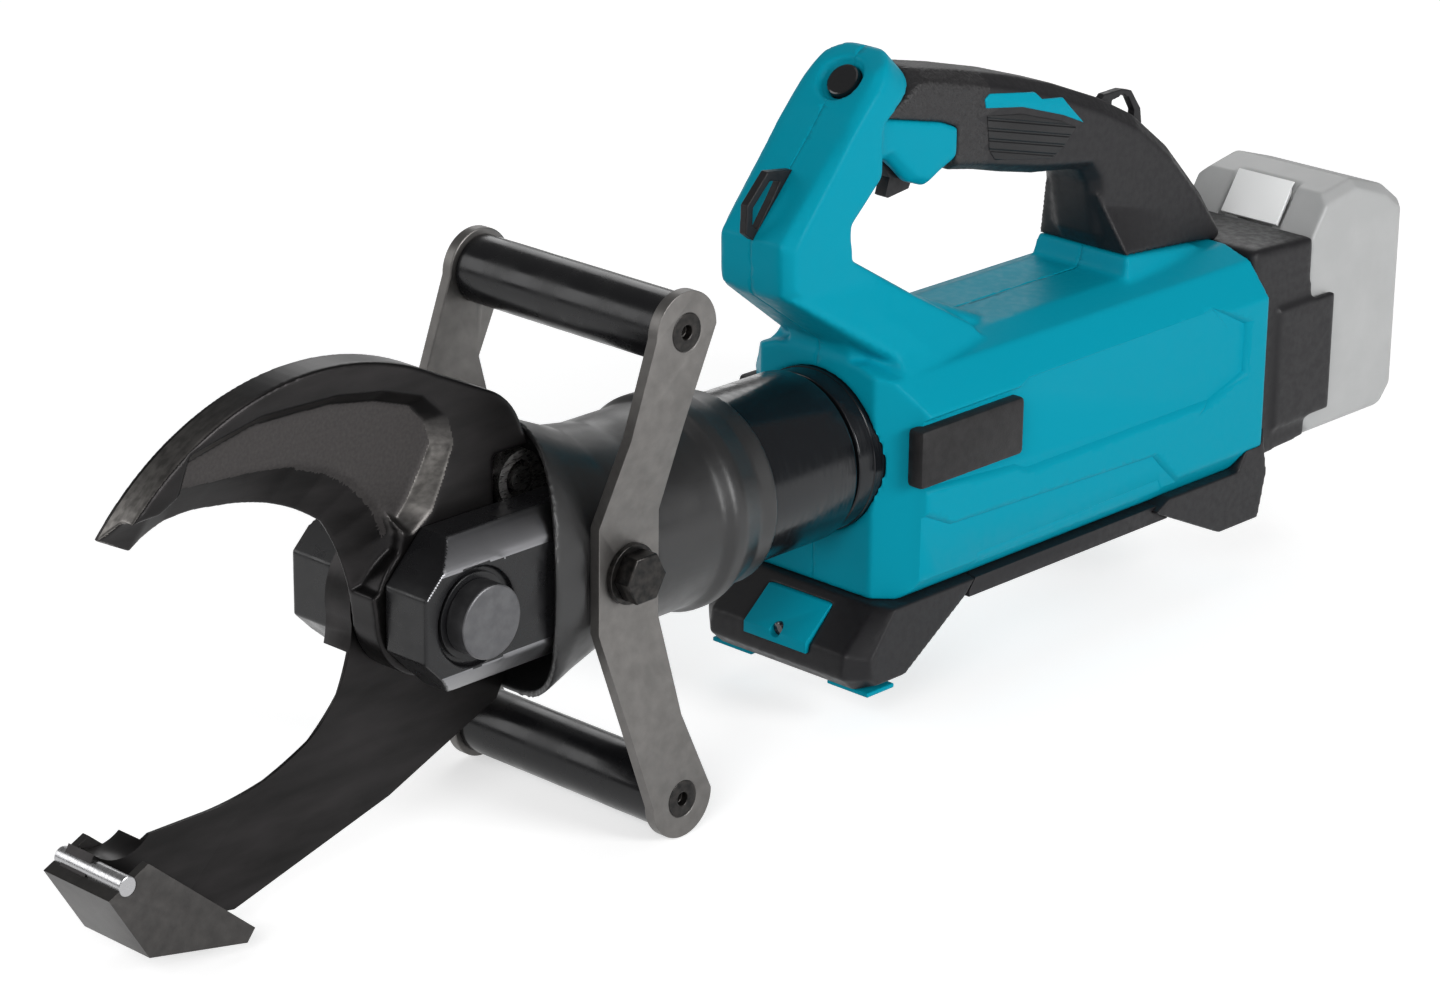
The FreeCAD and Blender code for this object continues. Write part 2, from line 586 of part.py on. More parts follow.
screw_head = cell("screw_head", 4.0, "depth of the loop screws' countersink")
for node, sign in (("loop_plate_right", 1), ("loop_plate_left", -1)):
    bend = prism(node + "_bend", "YZ", [
        (sign * y, z) for y, z in (
            (loop_inner, -loop_flat_half), (loop_inner, loop_flat_half), (tube_half, loop_knee),
            (tube_half, plate_top), (side_half, plate_top), (side_half, loop_knee),
            (loop_outer, loop_flat_half), (loop_outer, -loop_flat_half), (side_half, -loop_knee),
            (side_half, -plate_top), (tube_half, -plate_top), (tube_half, -loop_knee))
    ][::sign], -130, -40)
    face = prism(node + "_face", "XZ", [
        (plate_wide - bolt_back, -loop_flat_half), (plate_wide - bolt_back, loop_flat_half),
        (-61, loop_knee), (loop_eye - loop_back, loop_height),
        (-loop_back, loop_height + loop_eye, "via"), (-(loop_back + loop_eye), loop_height),
        (-90, loop_knee), (-(bolt_back + plate_wide), loop_flat_half),
        (-(bolt_back + plate_wide), -loop_flat_half), (-90, -loop_knee),
        (-(loop_back + loop_eye), -loop_height), (-loop_back, -loop_height - loop_eye, "via"),
        (loop_eye - loop_back, -loop_height), (-61, -loop_knee),
    ], -70, 70)
    start = loop_inner - 2 if sign > 0 else -(loop_outer + 2)
    plate_holes = [rod(node + "_bolt_hole", "y", (-bolt_back, start, 0), loop_thick + 4, bolt_radius + seat_fit)]
    for level in (-1, 1):
        start = tube_half - 1 if sign > 0 else -(side_half + 1)
        plate_holes.append(rod(f"{node}_hole_{level + 1}", "y", (-loop_back, start, level * loop_height),
                               loop_thick + 2, loop_screw_radius + seat_fit))
        start = side_half - screw_head if sign > 0 else -side_half
        wide, narrow = screw_head_radius + seat_fit, loop_screw_radius + seat_fit
        plate_holes.append(cone(f"{node}_sink_{level + 1}", "y", (-loop_back, start, level * loop_height),
                                screw_head, *((narrow, wide) if sign > 0 else (wide, narrow))))
    part(node, cut(node + "_cut", overlap(node + "_blank", bend, face), *plate_holes))
loop_screws = []
loop_bolts = []
loop_washers = []
for node, level in (("loop_grip_upper", 1), ("loop_grip_lower", -1)):
    tube = rod(node + "_tube", "y", (-loop_back, -tube_half, level * loop_height), tube_half * 2, loop_tube_radius)
    threads = []
    for sign in (-1, 1):
        tag = f"{node}_{'right' if sign > 0 else 'left'}"
        start = side_half - screw_span if sign > 0 else -side_half
        threads.append(rod(tag + "_thread", "y", (-loop_back, start - 0.5, level * loop_height), screw_span + 1,
                           loop_screw_radius + seat_fit))
        shank = rod(tag + "_shank", "y", (-loop_back, start, level * loop_height), screw_span, loop_screw_radius)
        start = side_half - screw_head if sign > 0 else -side_half
        wide, narrow = screw_head_radius, loop_screw_radius
        head = cone(tag + "_head", "y", (-loop_back, start, level * loop_height), screw_head,
                    *((narrow, wide) if sign > 0 else (wide, narrow)))
        start = side_half - 3 if sign > 0 else -side_half
        socket = rod(tag + "_socket", "y", (-loop_back, start, level * loop_height), 3.0, loop_screw_radius - 1.2)
        loop_screws.append(cut(tag + "_screw", join(tag + "_join", shank, head), socket))
    part(node, cut(node + "_cut", tube, *threads))
part("loop_screws", group("loop_screws_group", *loop_screws))
bolt_corner = bolt_flats * 0.57735
for tag, sign in (("right", 1), ("left", -1)):
    low = loop_outer if sign > 0 else -(loop_outer + washer_thick)
    disc = rod(f"washer_disc_{tag}", "y", (-bolt_back, low, 0), washer_thick, bolt_corner + 1.5)
    eye = rod(f"washer_eye_{tag}", "y", (-bolt_back, low - 1, 0), washer_thick + 2, bolt_radius + seat_fit)
    loop_washers.append(cut(f"washer_{tag}", disc, eye))
    head_low = loop_outer + washer_thick
    hexagon = [(bolt_corner * math.cos(turn) - bolt_back, bolt_corner * math.sin(turn))
               for turn in [math.radians(60 * step) for step in range(6)]]
    low = head_low if sign > 0 else -(head_low + bolt_head)
    head = prism(f"bolt_head_{tag}", "XZ", hexagon, low, low + bolt_head)
    low = fork_flat - bolt_depth + 0.5
    shank_long = head_low + 1 - low
    shank = rod(f"bolt_shank_{tag}", "y", (-bolt_back, low if sign > 0 else -(low + shank_long), 0),
                shank_long, bolt_radius)
    loop_bolts.append(join(f"bolt_{tag}", head, shank))
part("loop_bolts", group("loop_bolts_group", *loop_bolts))
part("loop_washers", group("loop_washers_group", *loop_washers))
boot_tools = [boot_hollow, rim_cut, fork_solid,
              rod("boot_bore", "x", (-boot_end - 1, 0, 0), boot_end - fork_end + 1, tube_radius + seat_fit),
              rod("boot_bolts", "y", (-bolt_back, -60, 0), 120, bolt_radius + seat_fit)]
for tag, low, high in (("right", loop_inner, 60), ("left", -60, -loop_inner)):
    boot_tools.append(block(f"boot_saddle_{tag}", (-bolt_back - plate_wide - 3, low, -45),
                            (plate_wide - bolt_back + 3, high, 45)))
part("rubber_boot", cut("rubber_boot_cut", boot_skin, *boot_tools))

# ---- housing: two hollow halves that meet on the plane y = 0
body_half = cell("body_half", 50.0, "half width of the housing's body")
body_top = cell("body_top", 42.0, "top of the body above the axis")
body_bottom = cell("body_bottom", 60.0, "underside of the body below the axis")
body_front = cell("body_front", 232.0, "front face of the body behind the pivot")
body_end = cell("body_end", 480.0, "rear face of the body behind the pivot")
wall = cell("wall", 3.0, "wall of the housing")
arm_half = cell("arm_half", 21.0, "half width of the front arm")
arm_flat_half = cell("arm_flat_half", 16.5, "half width of the arm's front flat")
screw_radius = cell("screw_radius", 2.0, "radius of the housing screws")
button_radius = cell("button_radius", 7.5, "radius of the release button")
button_back = cell("button_back", 245.0, "release button behind the pivot")
button_rise = cell("button_rise", 157.0, "release button above the axis")
button_travel = cell("button_travel", 3.0, "press of the release button")
button_tilt = cell("button_tilt", 46.4, "angle of the button's axis from upright")


def body_solid(name, inset):
    """The body's solid, or the hollow inside it when inset is the wall."""
    side = prism(name + "_side", "XZ", [
        (-(body_front + inset), body_top - inset), (-(body_end - inset), body_top - inset),
        (-(body_end - inset), -(body_bottom - inset)), (-(body_front + inset), -(body_bottom - inset)),
    ], -60, 60)
    section = prism(name + "_section", "YZ", [
        (body_half - inset, 22 - inset * 0.4), (38 - inset, 37 - inset * 0.8), (24 - inset, body_top - inset),
        (inset - 24, body_top - inset), (inset - 38, 37 - inset * 0.8), (inset - body_half, 22 - inset * 0.4),
        (inset - body_half, -48), (inset - 44, inset - 57), (inset - 40, inset - body_bottom),
        (40 - inset, inset - body_bottom), (44 - inset, inset - 57), (body_half - inset, -48),
    ], -500, -200)
    above = prism(name + "_plan", "XY", [
        (-(body_front + inset), 32 - inset), (-(body_front + 12 + inset), 45 - inset),
        (-(body_front + 16 + inset), body_half - inset), (-(body_end - inset), body_half - inset),
        (-(body_end - inset), inset - body_half), (-(body_front + 16 + inset), inset - body_half),
        (-(body_front + 12 + inset), inset - 45), (-(body_front + inset), inset - 32),
    ], -80, 80)
    return overlap(name, overlap(name + "_box", side, section), above)


arm_side = [(-190, 101), (-212, 125), (-225, 139), (-232, 148), (-246, 163), (-258, 170), (-270, 165),
            (-273, 157.5), (-250, 143), (-250, 118), (-229, 100), (-232, 87), (-272, 63), (-322, 41),
            (-322, 36), (-236, 36), (-232, 50), (-191, 79)]
arm_inner = [(-195, 98), (-198, 104), (-218, 128), (-226, 138), (-235, 148), (-248, 161), (-262, 160),
             (-262, 152), (-247, 141), (-247, 120), (-229, 103), (-230, 87), (-270, 63), (-319, 39),
             (-319, 36), (-241, 36), (-236, 53), (-195, 82)]
arm_hollow = [(-199, 101), (-218, 122), (-228, 132), (-235, 139), (-240, 138), (-241, 136), (-242, 134),
              (-243, 132), (-243, 130), (-242, 124), (-223, 104), (-225, 84), (-262, 60), (-280, 50),
              (-280, 36), (-244, 36), (-240, 56), (-199, 82)]
neck_rings = [
    [(-192, 77), (-194.3, 77), (-197, 77), (-225, 77), (-246, 77), (-246, 77)],
    [(-233, 48), (-244, 42.5), (-246, 44.5), (-265, 45), (-299, 46), (-299, 46)],
    [(-237, 29), (-244, 29), (-244.5, 29), (-272, 29), (-314, 29), (-314, 29)],
]
neck_halves = [(8, 19, 20.8, 20.8, 20.8, 8), (8, 29.5, 33.5, 33, 28.5, 8), (8, 38, 43.5, 40, 33, 8)]
saddle_base = [(-403, 28), (-470, 24)]
saddle_seat = [(-406, 26, 52), (-462, 19, 44)]
nose_side = [(-246, 144), (-254, 142), (-289, 134), (-299, 130), (-299, 115), (-290, 111), (-282, 107),
             (-271, 111), (-257, 124), (-246, 122)]
nose_inner = [(-246, 144), (-254, 142), (-289, 134), (-299, 130), (-299, 118), (-290, 115), (-282, 111),
              (-274, 114), (-259, 128), (-246, 126)]
bosses = [(-355, 30, 5.0, 38), (-249, -52, 4.5, 42), (-440, 30, 5.0, 38), (-420, -52, 4.5, 44)]
arm = bevelled("arm", arm_side, arm_inner, arm_flat_half, arm_half)
saddle = lofted("saddle", [
    [(x, -y, 39) for x, y in saddle_base] + [(x, y, 39) for x, y in reversed(saddle_base)],
    [(x, -y, z) for x, y, z in saddle_seat] + [(x, y, z) for x, y, z in reversed(saddle_seat)]])
neck = lofted("neck", [[(x, y, z) for (x, z), y in zip(ring, halves)]
                       + [(x, -y, z) for (x, z), y in zip(reversed(ring), reversed(halves))]
                       for ring, halves in zip(neck_rings, neck_halves)])
trigger_half = cell("trigger_half", 8.0, "half width of the trigger")
trigger_pivot = cell("trigger_pivot", 292.0, "trigger's pivot behind the blade pivot")
trigger_rise = cell("trigger_rise", 120.0, "trigger's pivot above the axis")
trigger_pin_radius = cell("trigger_pin_radius", 2.0, "radius of the trigger's pivot pin")
grip_half = cell("grip_half", 17.0, "half width of the grip")
nose = bevelled("nose", nose_side, nose_inner, grip_half - 4, grip_half)
pocket_half = trigger_half + run_gap * 2
trigger_pocket = block("trigger_pocket", (-300.0, -pocket_half, 100.0), (-260.0, pocket_half, 137.0))
axle_hole = rod("axle_hole", "y", (-trigger_pivot, -13.0, trigger_rise), 26.0, trigger_pin_radius + seat_fit)
arm_core = prism("arm_core", "XZ", arm_hollow, 2 - arm_flat_half, arm_flat_half - 2)
boss_rods = [rod(f"boss_{n}", "y", (x, -reach, z), reach * 2, r) for n, (x, z, r, reach) in enumerate(bosses)]
shell = join("shell", cut("shell_hollow", join("shell_outer", body_solid("body_outer", Size(0.0, "0")), arm, neck, saddle),
                          body_solid("body_inner", wall), arm_core), nose, *boss_rods)
button_axis = V(math.sin(math.radians(button_tilt)), 0, math.cos(math.radians(button_tilt)))


def along_button(name, start, length, radius):
    """A cylinder on the release button's axis, start and length measured from its outer face."""
    base = V(-button_back, 0, button_rise) + button_axis * (start - length)
    return shaped(name, Part.makeCylinder(radius, length, base, button_axis))


tube_seat = rod("tube_seat", "x", (-(collar_end + 1), 0, 0), collar_end + 1 - body_front + 2,
                collar_radius + seat_fit)
screw_holes = []
screws = []
for n, (x, z, r, reach) in enumerate(bosses):
    screw_holes.append(rod(f"screw_hole_{n}", "y", (x, -body_half - 1, z), body_half * 1.5, screw_radius + seat_fit))
    screw_holes.append(rod(f"screw_sink_{n}", "y", (x, -body_half - 1, z), body_half + 1 - reach, screw_radius * 1.8))
    shank = rod(f"screw_shank_{n}", "y", (x, -reach - 0.5, z), reach * 1.3, screw_radius)
    head = rod(f"screw_head_{n}", "y", (x, -reach - 1.5, z), 1.5, screw_radius * 1.7)
    screws.append(join(f"screw_{n}", shank, head))
shell_cut = cut("shell_cut", shell, tube_seat, trigger_pocket, axle_hole, *screw_holes,
                along_button("button_recess", 6.0, 6.5, button_radius + 3),
                along_button("button_bore", 3.0, 22.0, button_radius + run_gap + 0.05))
for node, low, high in (("housing_left", -60.0, 0.0), ("housing_right", 0.0, 60.0)):
    part(node, overlap(node + "_half", shell_cut, block(node + "_side", (-500.0, low, -70.0), (-180.0, high, 180.0))))
part("housing_screws", group("housing_screws_group", *screws))
cap = along_button("button_cap", 1.5, 10.0, button_radius)
part("release_button", join("button_join", cap, along_button("button_stem", -7.0, 6.0, 3.0)))

pad_thick = cell("pad_thick", 3.0, "how far the side pads stand out")
for node, low in (("side_pad_right", body_half), ("side_pad_left", -(body_half + pad_thick))):
    part(node, block(node + "_block", (-306.0, low, -8.0), (-240.0, low + pad_thick, 18.0)))

# ---- D-handle grip with the trigger, its lock tab and the switch
grip_flat_half = cell("grip_flat_half", 10.0, "half width of the grip's flat top and bottom")
grip_side = [(-273.2, 157.5), (-276, 159), (-306, 152.5), (-339, 144), (-369, 134.5), (-401, 122), (-425, 110),
             (-450, 91), (-476, 64), (-491, 44), (-484, 36), (-480, 42), (-462, 44), (-406, 52),
             (-400, 60), (-396, 76), (-394, 85), (-389, 92), (-374, 94.5), (-356, 97), (-334, 102), (-317, 106.5),
             (-299, 110), (-296, 120), (-280, 122), (-262, 130), (-250, 140)]
grip_inner = [(-273.2, 153), (-277, 154), (-305, 147.5), (-337, 139), (-366, 129.5), (-397, 117), (-421, 105),
              (-445, 87), (-469, 62), (-484, 44), (-481, 42), (-479, 42), (-462, 44), (-410, 53),
              (-404, 61), (-400, 77), (-398, 88), (-391, 96.5), (-374, 99), (-356, 102), (-335, 106.5),
              (-317, 110.5), (-299, 114), (-296, 121), (-280, 123), (-262, 131), (-252, 142)]
post_seat = [(-406, 25.5, 52), (-462, 17, 44)]
post_top = [(-396, 15, 80), (-455, 15, 74)]
post_flare = lofted("post_flare", [[(x, -y, z) for x, y, z in ring] + [(x, y, z) for x, y, z in reversed(ring)]
                                   for ring in (post_seat, post_top)])
grip = join("grip_join", bevelled("grip", grip_side, grip_inner, grip_flat_half, grip_half), post_flare)
trigger_axle = rod("trigger_axle", "y", (-trigger_pivot, -13.0, trigger_rise), 26.0, trigger_pin_radius)
part("handle_grip", cut("handle_grip_cut", grip, trigger_pocket, nose, saddle,
                        along_button("grip_button_room", 3.0, 24.0, button_radius + run_gap + 0.05),
                        body_solid("body_under_grip", Size(0.0, "0"))))
part("trigger_axle", trigger_axle)
lever = prism("trigger_lever", "XZ", [
    (-296, 124.5), (-262, 124.5), (-262, 119), (-266, 113), (-279, 109.5), (-287, 108), (-291, 112), (-296, 116),
], -trigger_half, trigger_half)
lever_hole = rod("lever_hole", "y", (-trigger_pivot, -20.0, trigger_rise), 40.0, trigger_pin_radius + pin_fit)
tab_slot = block("tab_slot", (-290.0, -3.3, 100.0), (-268.7, 3.3, 118.0))
tab_axle = rod("tab_axle", "y", (-284.0, -6.0, 114.5), 12.0, 1.5)
tab_axle_hole = rod("tab_axle_hole", "y", (-284.0, -6.0, 114.5), 12.0, 1.52)
part("trigger", cut("trigger_cut", lever, lever_hole, tab_slot, tab_axle_hole))
part("lock_axle", tab_axle)
tab = prism("tab_shape", "XZ", [(-286.3, 116), (-282, 117), (-272, 112), (-269.2, 103), (-271, 102), (-284, 103.5),
                                (-287, 109)], -3.0, 3.0)
part("trigger_lock", cut("trigger_lock_cut", tab, rod("tab_hole", "y", (-284.0, -4.0, 114.5), 8.0, 1.55)))
part("switch_unit", block("switch_block", (-298.0, -7.0, 127.5), (-264.0, 7.0, 137.0)))

lug_hole = cell("lug_hole", 3.5, "radius of the strap holes")
lug_half = cell("lug_half", 3.0, "half thickness of the strap eyes")
front_lug = prism("front_lug", "XZ", [(-192, 99), (-185.5, 104), (-186, 116), (-198, 128), (-213, 125.9)],
                  -lug_half, lug_half)
front_hole = rod("front_lug_hole", "y", (-195.0, -10.0, 114.6), 20.0, lug_hole)
part("front_strap_eye", cut("front_strap_cut", front_lug, front_hole, shell_cut))
rear_lug = prism("rear_lug", "XZ", [(-408, 113), (-415, 119.2), (-427, 119.4), (-434, 117.5), (-441, 108), (-444, 90)],
                 -lug_half, lug_half)
rear_hole = rod("rear_lug_hole", "y", (-427.5, -10.0, 113.3), 20.0, lug_hole)
part("rear_strap_eye", cut("rear_strap_cut", rear_lug, rear_hole, grip))

# ---- feet, rails and the lamp
foot_half = cell("foot_half", 47.0, "half width of the front foot")
rear_foot_half = cell("rear_foot_half", 50.0, "half width of the rear foot")
lamp_half = cell("lamp_half", 18.0, "half width of the lamp cover")
front_foot = bevelled("front_foot_blank", [
    (-229, -60), (-210, -78), (-209, -88), (-217, -95), (-236, -95), (-282, -66), (-287, -60),
], [
    (-232, -60), (-217, -80), (-218, -88), (-223, -92), (-240, -92), (-279, -66), (-284, -60),
], foot_half - 9, foot_half)
lamp_bay = block("lamp_bay", (-232.0, -lamp_half, -82.0), (-200.0, lamp_half, -64.0))
part("front_foot", cut("front_foot_cut", front_foot, lamp_bay))
lamp = prism("lamp_blank", "XZ", [(-232, -64), (-224, -64), (-208.5, -77), (-208.5, -82), (-232, -82)],
             -lamp_half, lamp_half)
lens_bore = rod("lens_bore", "x", (-220.0, 0.0, -76.5), 20.0, 3.02)
part("lamp_cover", cut("lamp_cover_cut", lamp, lens_bore))
part("lamp_lens", rod("lens", "x", (-220.0, 0.0, -76.5), 9.0, 3.0))
rear_foot = prism("rear_foot_blank", "XZ", [
    (-404, -62), (-414, -57), (-463, -57.5), (-473, -38), (-480, -38), (-485, -63), (-480, -84), (-452, -84),
], -rear_foot_half, rear_foot_half)
part("rear_foot", cut("rear_foot_cut", rear_foot, body_solid("body_over_foot", Size(0.0, "0"))))
rails = []
for tag, low, high in (("right", 30.0, 47.0), ("left", -47.0, -30.0)):
    rails.append(block(f"rail_{tag}", (-416.0, low, -68.0), (-280.0, high, -60.0)))
rail_pair = group("rail_pair", *rails)
part("base_rails", cut("base_rails_cut", rail_pair, join("feet_blank", front_foot, rear_foot)))
pads = []
for tag, low, high in (("right", 22.0, 45.0), ("left", -45.0, -22.0)):
    pads.append(block(f"front_pad_{tag}", (-235.0, low, -97.0), (-218.0, high, -95.0)))
    pads.append(block(f"rear_pad_{tag}", (-478.0, low, -86.0), (-456.0, high, -84.0)))
part("foot_pads", group("foot_pads_group", *pads))

# ---- battery bracket, terminals and battery, which lifts off upward
bracket_half = cell("bracket_half", 40.0, "half width of the battery bracket")
bracket_end = cell("bracket_end", 526.0, "rear face of the bracket behind the pivot")
battery_half = cell("battery_half", 37.5, "half width of the battery")
battery_front = cell("battery_front", 527.0, "front face of the battery behind the pivot")
battery_end = cell("battery_end", 600.0, "rear face of the battery behind the pivot")
battery_top = cell("battery_top", 53.0, "top of the battery above the axis")
battery_bottom = cell("battery_bottom", 61.0, "bottom of the battery below the axis")
bracket_blank = prism("bracket_blank", "XZ", [
    (-480, 38), (-484, 44), (-500, 56), (-bracket_end, 44), (-bracket_end, -58), (-495, -60), (-485.2, -56),
    (-480, -38),
], -bracket_half, bracket_half)
skirt = prism("bracket_skirt", "XZ", [(-500, 9), (-542, 9), (-542, -48), (-500, -48)],
              -(bracket_half + 2), bracket_half + 2)
skirt_clear = block("skirt_clear", (-560.0, -(battery_half + 0.5), -90.0), (-bracket_end, battery_half + 0.5, 90.0))
tee_neck = block("tee_neck", (-(bracket_end + 3.0), -6.0, -45.0), (-bracket_end + 1, 6.0, 20.0))
tee_head = block("tee_head", (-(bracket_end + 6.0), -10.0, -45.0), (-(bracket_end + 3.0), 10.0, 20.0))
bracket_core = block("bracket_core", (-520.0, -34.0, -50.0), (-486.0, 34.0, 34.0))
latch_notch = block("latch_notch", (-530.0, -9.0, 30.0), (-520.0, 9.0, 36.0))
bracket_body = cut("bracket_body", join("bracket_join", bracket_blank, skirt), skirt_clear, bracket_core,
                   latch_notch, grip)
terminal_slot = block("terminal_slot", (-530.0, -28.0, -30.0), (-519.0, -16.0, 0.0))
part("battery_bracket", join("bracket_tee", cut("bracket_cut", bracket_body, terminal_slot), tee_neck, tee_head))
part("terminal_block", block("terminals", (-525.5, -28.0, -30.0), (-516.0, -16.0, 0.0)))
case_side = [(-battery_front, 49), (-(battery_front + 4), battery_top), (-560, 58), (-(battery_end - 14), 50),
             (-battery_end, 40), (-battery_end, -52), (-(battery_end - 8), -battery_bottom),
             (-(battery_front + 5), -battery_bottom), (-battery_front, -56)]
case_inner = [(-battery_front, 45), (-(battery_front + 4), battery_top - 4), (-560, 54), (-(battery_end - 17), 46),
              (-(battery_end - 4), 37), (-(battery_end - 4), -49), (-(battery_end - 11), 4 - battery_bottom),
              (-(battery_front + 6), 4 - battery_bottom), (-battery_front, -52)]
case_blank = bevelled("case_blank", case_side, case_inner, battery_half - 5, battery_half)
tee_space = [
    block("tee_neck_space", (-(battery_front + 3.0), -6.5, -80.0), (-battery_front + 5, 6.5, 20.4)),
    block("tee_head_space", (-(battery_front + 5.5), -10.5, -80.0), (-(battery_front + 1.6), 10.5, 20.4)),
]
cell_radius = cell("cell_radius", 10.5, "radius of a battery cell")
cell_holes = []
cells = []
for row in range(3):
    for level in range(5):
        at = (-583.0, -24.0 + row * 24.0, -46.0 + level * 21.2)
        cells.append(rod(f"cell_{row}_{level}", "x", at, 44.0, cell_radius))
        cell_holes.append(rod(f"cell_hole_{row}_{level}", "x", at, 44.0, cell_radius + seat_fit))
case_bay = block("latch_bay", (-(battery_front + 11.0), -9.5, 24.5), (-battery_front + 5, 9.5, 60.0))
part("battery_case", cut("battery_case_cut", case_blank, *tee_space, *cell_holes, case_bay))
part("battery_cells", group("battery_cells_group", *cells))
part("battery_latch_button", block("latch_block", (-(battery_front + 10.0), -9.0, 38.0),
                                   (-battery_front - 1, 9.0, 57.0)))

# ---- drive inside the body: motor, gears, eccentric, pump and oil
motor_drop = cell("motor_drop", 24.0, "motor's axis below the cylinder axis")
motor_radius = cell("motor_radius", 27.0, "outer radius of the stator")
core_radius = cell("core_radius", 14.0, "radius of the rotor core")
shaft_radius = cell("shaft_radius", 3.0, "radius of the motor shaft")
cam_radius = cell("cam_radius", 12.0, "radius of the eccentric's disc")
cam_offset = cell("cam_offset", 3.0, "eccentric's offset from its shaft")
cam_shaft_radius = cell("cam_shaft_radius", 5.0, "radius of the eccentric's shaft")
stator_ring = rod("stator_ring", "x", (-401.0, 0.0, -motor_drop), 53.0, motor_radius)
stator_bore = rod("stator_bore", "x", (-398.0, 0.0, -motor_drop), 60.0, core_radius + 0.6)
stator_eye = rod("stator_eye", "x", (-402.0, 0.0, -motor_drop), 10.0, shaft_radius + pin_fit)
part("motor_stator", cut("motor_stator_cut", stator_ring, stator_bore, stator_eye))


def gear_outline(teeth, turn, centre):
    """Corners of a spur gear of module 1 with slim teeth, in the Y-Z plane."""
    radius = teeth / 2
    spots = []
    for tooth in range(teeth):
        middle = 2 * math.pi * tooth / teeth + turn
        for reach, half in ((radius - 1.3, 0.95), (radius + 0.8, 0.28)):
            spots.append((reach, middle - half / radius))
        for reach, half in ((radius + 0.8, 0.28), (radius - 1.3, 0.95)):
            spots.append((reach, middle + half / radius))
    return [(r * math.cos(a), centre + r * math.sin(a)) for r, a in spots]


def gear(name, teeth, turn, centre, low, high):
    """A spur gear between two stations along X."""
    return lofted(name, [[(x, y, z) for y, z in gear_outline(teeth, turn, centre)] for x in (low, high)])


pinion = gear("pinion", 12, math.pi / 2, -motor_drop, -330.0, -316.0)
rotor_core = rod("rotor_core", "x", (-396.0, 0.0, -motor_drop), 46.0, core_radius)
rotor_shaft = rod("rotor_shaft", "x", (-425.0, 0.0, -motor_drop), 110.0, shaft_radius)
part("motor_rotor", join("motor_rotor_join", rotor_core, rotor_shaft, pinion))
fan_disc = rod("fan_disc", "x", (-414.0, 0.0, -motor_drop), 3.0, 24.0)
blades = [fan_disc, rod("fan_hub", "x", (-414.0, 0.0, -motor_drop), 10.0, 7.0)]
for step in range(8):
    vane = doc.addObject("Part::Box", f"fan_vane_{step}")
    vane.Length, vane.Width, vane.Height = 10, 16, 1.5
    vane.Placement = FreeCAD.Placement(V(-414, 0, -motor_drop), FreeCAD.Rotation(V(1, 0, 0), 45 * step),
                                       V(0, 0, 0))
    vane.Placement = vane.Placement.multiply(FreeCAD.Placement(V(0, 6, -0.75), FreeCAD.Rotation()))
    blades.append(vane)
part("motor_fan", cut("motor_fan_cut", join("motor_fan_join", *blades),
                      rod("fan_eye", "x", (-416.0, 0.0, -motor_drop), 20.0, shaft_radius + seat_fit)))
case_box = block("gear_box", (-348.0, -34.0, -54.0), (-300.0, 34.0, 34.0))
case_room = block("gear_room", (-340.0, -31.0, -60.0), (-304.0, 31.0, 31.0))
part("gear_case", cut("gear_case_cut", case_box, case_room,
                      rod("case_shaft_eye", "x", (-346.0, 0.0, 0.0), 60.0, cam_shaft_radius + pin_fit),
                      rod("case_motor_eye", "x", (-350.0, 0.0, -motor_drop), 20.0, shaft_radius + pin_fit)))
wheel = gear("wheel", 36, math.pi / 36 - math.pi / 2, Size(0.0, "0"), -328.0, -318.0)
part("drive_gear", cut("drive_gear_cut", wheel,
                       rod("wheel_eye", "x", (-340.0, 0.0, 0.0), 40.0, cam_shaft_radius + seat_fit)))
cam = rod("cam", "x", (-297.0, 0.0, -cam_offset), 12.0, cam_radius)
part("eccentric_shaft", join("eccentric_join", cam, rod("cam_shaft", "x", (-345.7, 0.0, 0.0), 50.0, cam_shaft_radius)))
pump_box = block("pump_box", (-300.0, -34.0, -34.0), (-250.0, 34.0, 34.0))
pump_nose = rod("pump_nose", "x", (-255.0, 0.0, 0.0), 33.0, bore_radius - seat_fit)
plunger_bore = rod("plunger_bore", "z", (-291.0, 0.0, 10.0), 30.0, 4.0 + seat_fit)
part("pump_block", cut("pump_block_cut", join("pump_join", pump_box, pump_nose),
                       rod("cam_room", "x", (-301.0, 0.0, 0.0), 19.0, 22.0), plunger_bore))
part("pump_plunger", rod("plunger", "z", (-291.0, 0.0, cam_radius + cam_offset + run_gap), 18.0, 4.0))
part("oil_reservoir", block("reservoir", (-298.0, -30.0, -54.0), (-254.0, 30.0, -34.0)))
part("control_board", block("board_module", (-477.0, -30.0, -40.0), (-465.0, 30.0, 20.0)))

# ---- check every object, then write one file per sub-part
doc.recompute()
for item in doc.Objects:
    if "Invalid" in item.State or "Error" in item.State:
        raise RuntimeError(f"{item.Name} failed: {item.State}")
for item in subparts:
    if item.Shape.isNull() or not item.Shape.isValid():
        raise RuntimeError(f"{item.Label} has no valid shape")

whole = FreeCAD.BoundBox()
for item in subparts:
    whole.add(item.Shape.optimalBoundingBox(False, False))
floor_origin = V(whole.Center.x, whole.Center.y, whole.ZMin)
os.makedirs("parts", exist_ok=True)
for item in subparts:
    shape = item.Shape.copy()
    shape.translate(-floor_origin)
    shape.exportStep(f"parts/{item.Label}.step")
print("origin moved to", floor_origin, "box", whole.XLength, whole.YLength, whole.ZLength)
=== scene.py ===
"""Battery rescue cutter: how it looks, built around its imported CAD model."""
import json
import math

import bmesh
import bpy
from mathutils import Matrix, Vector

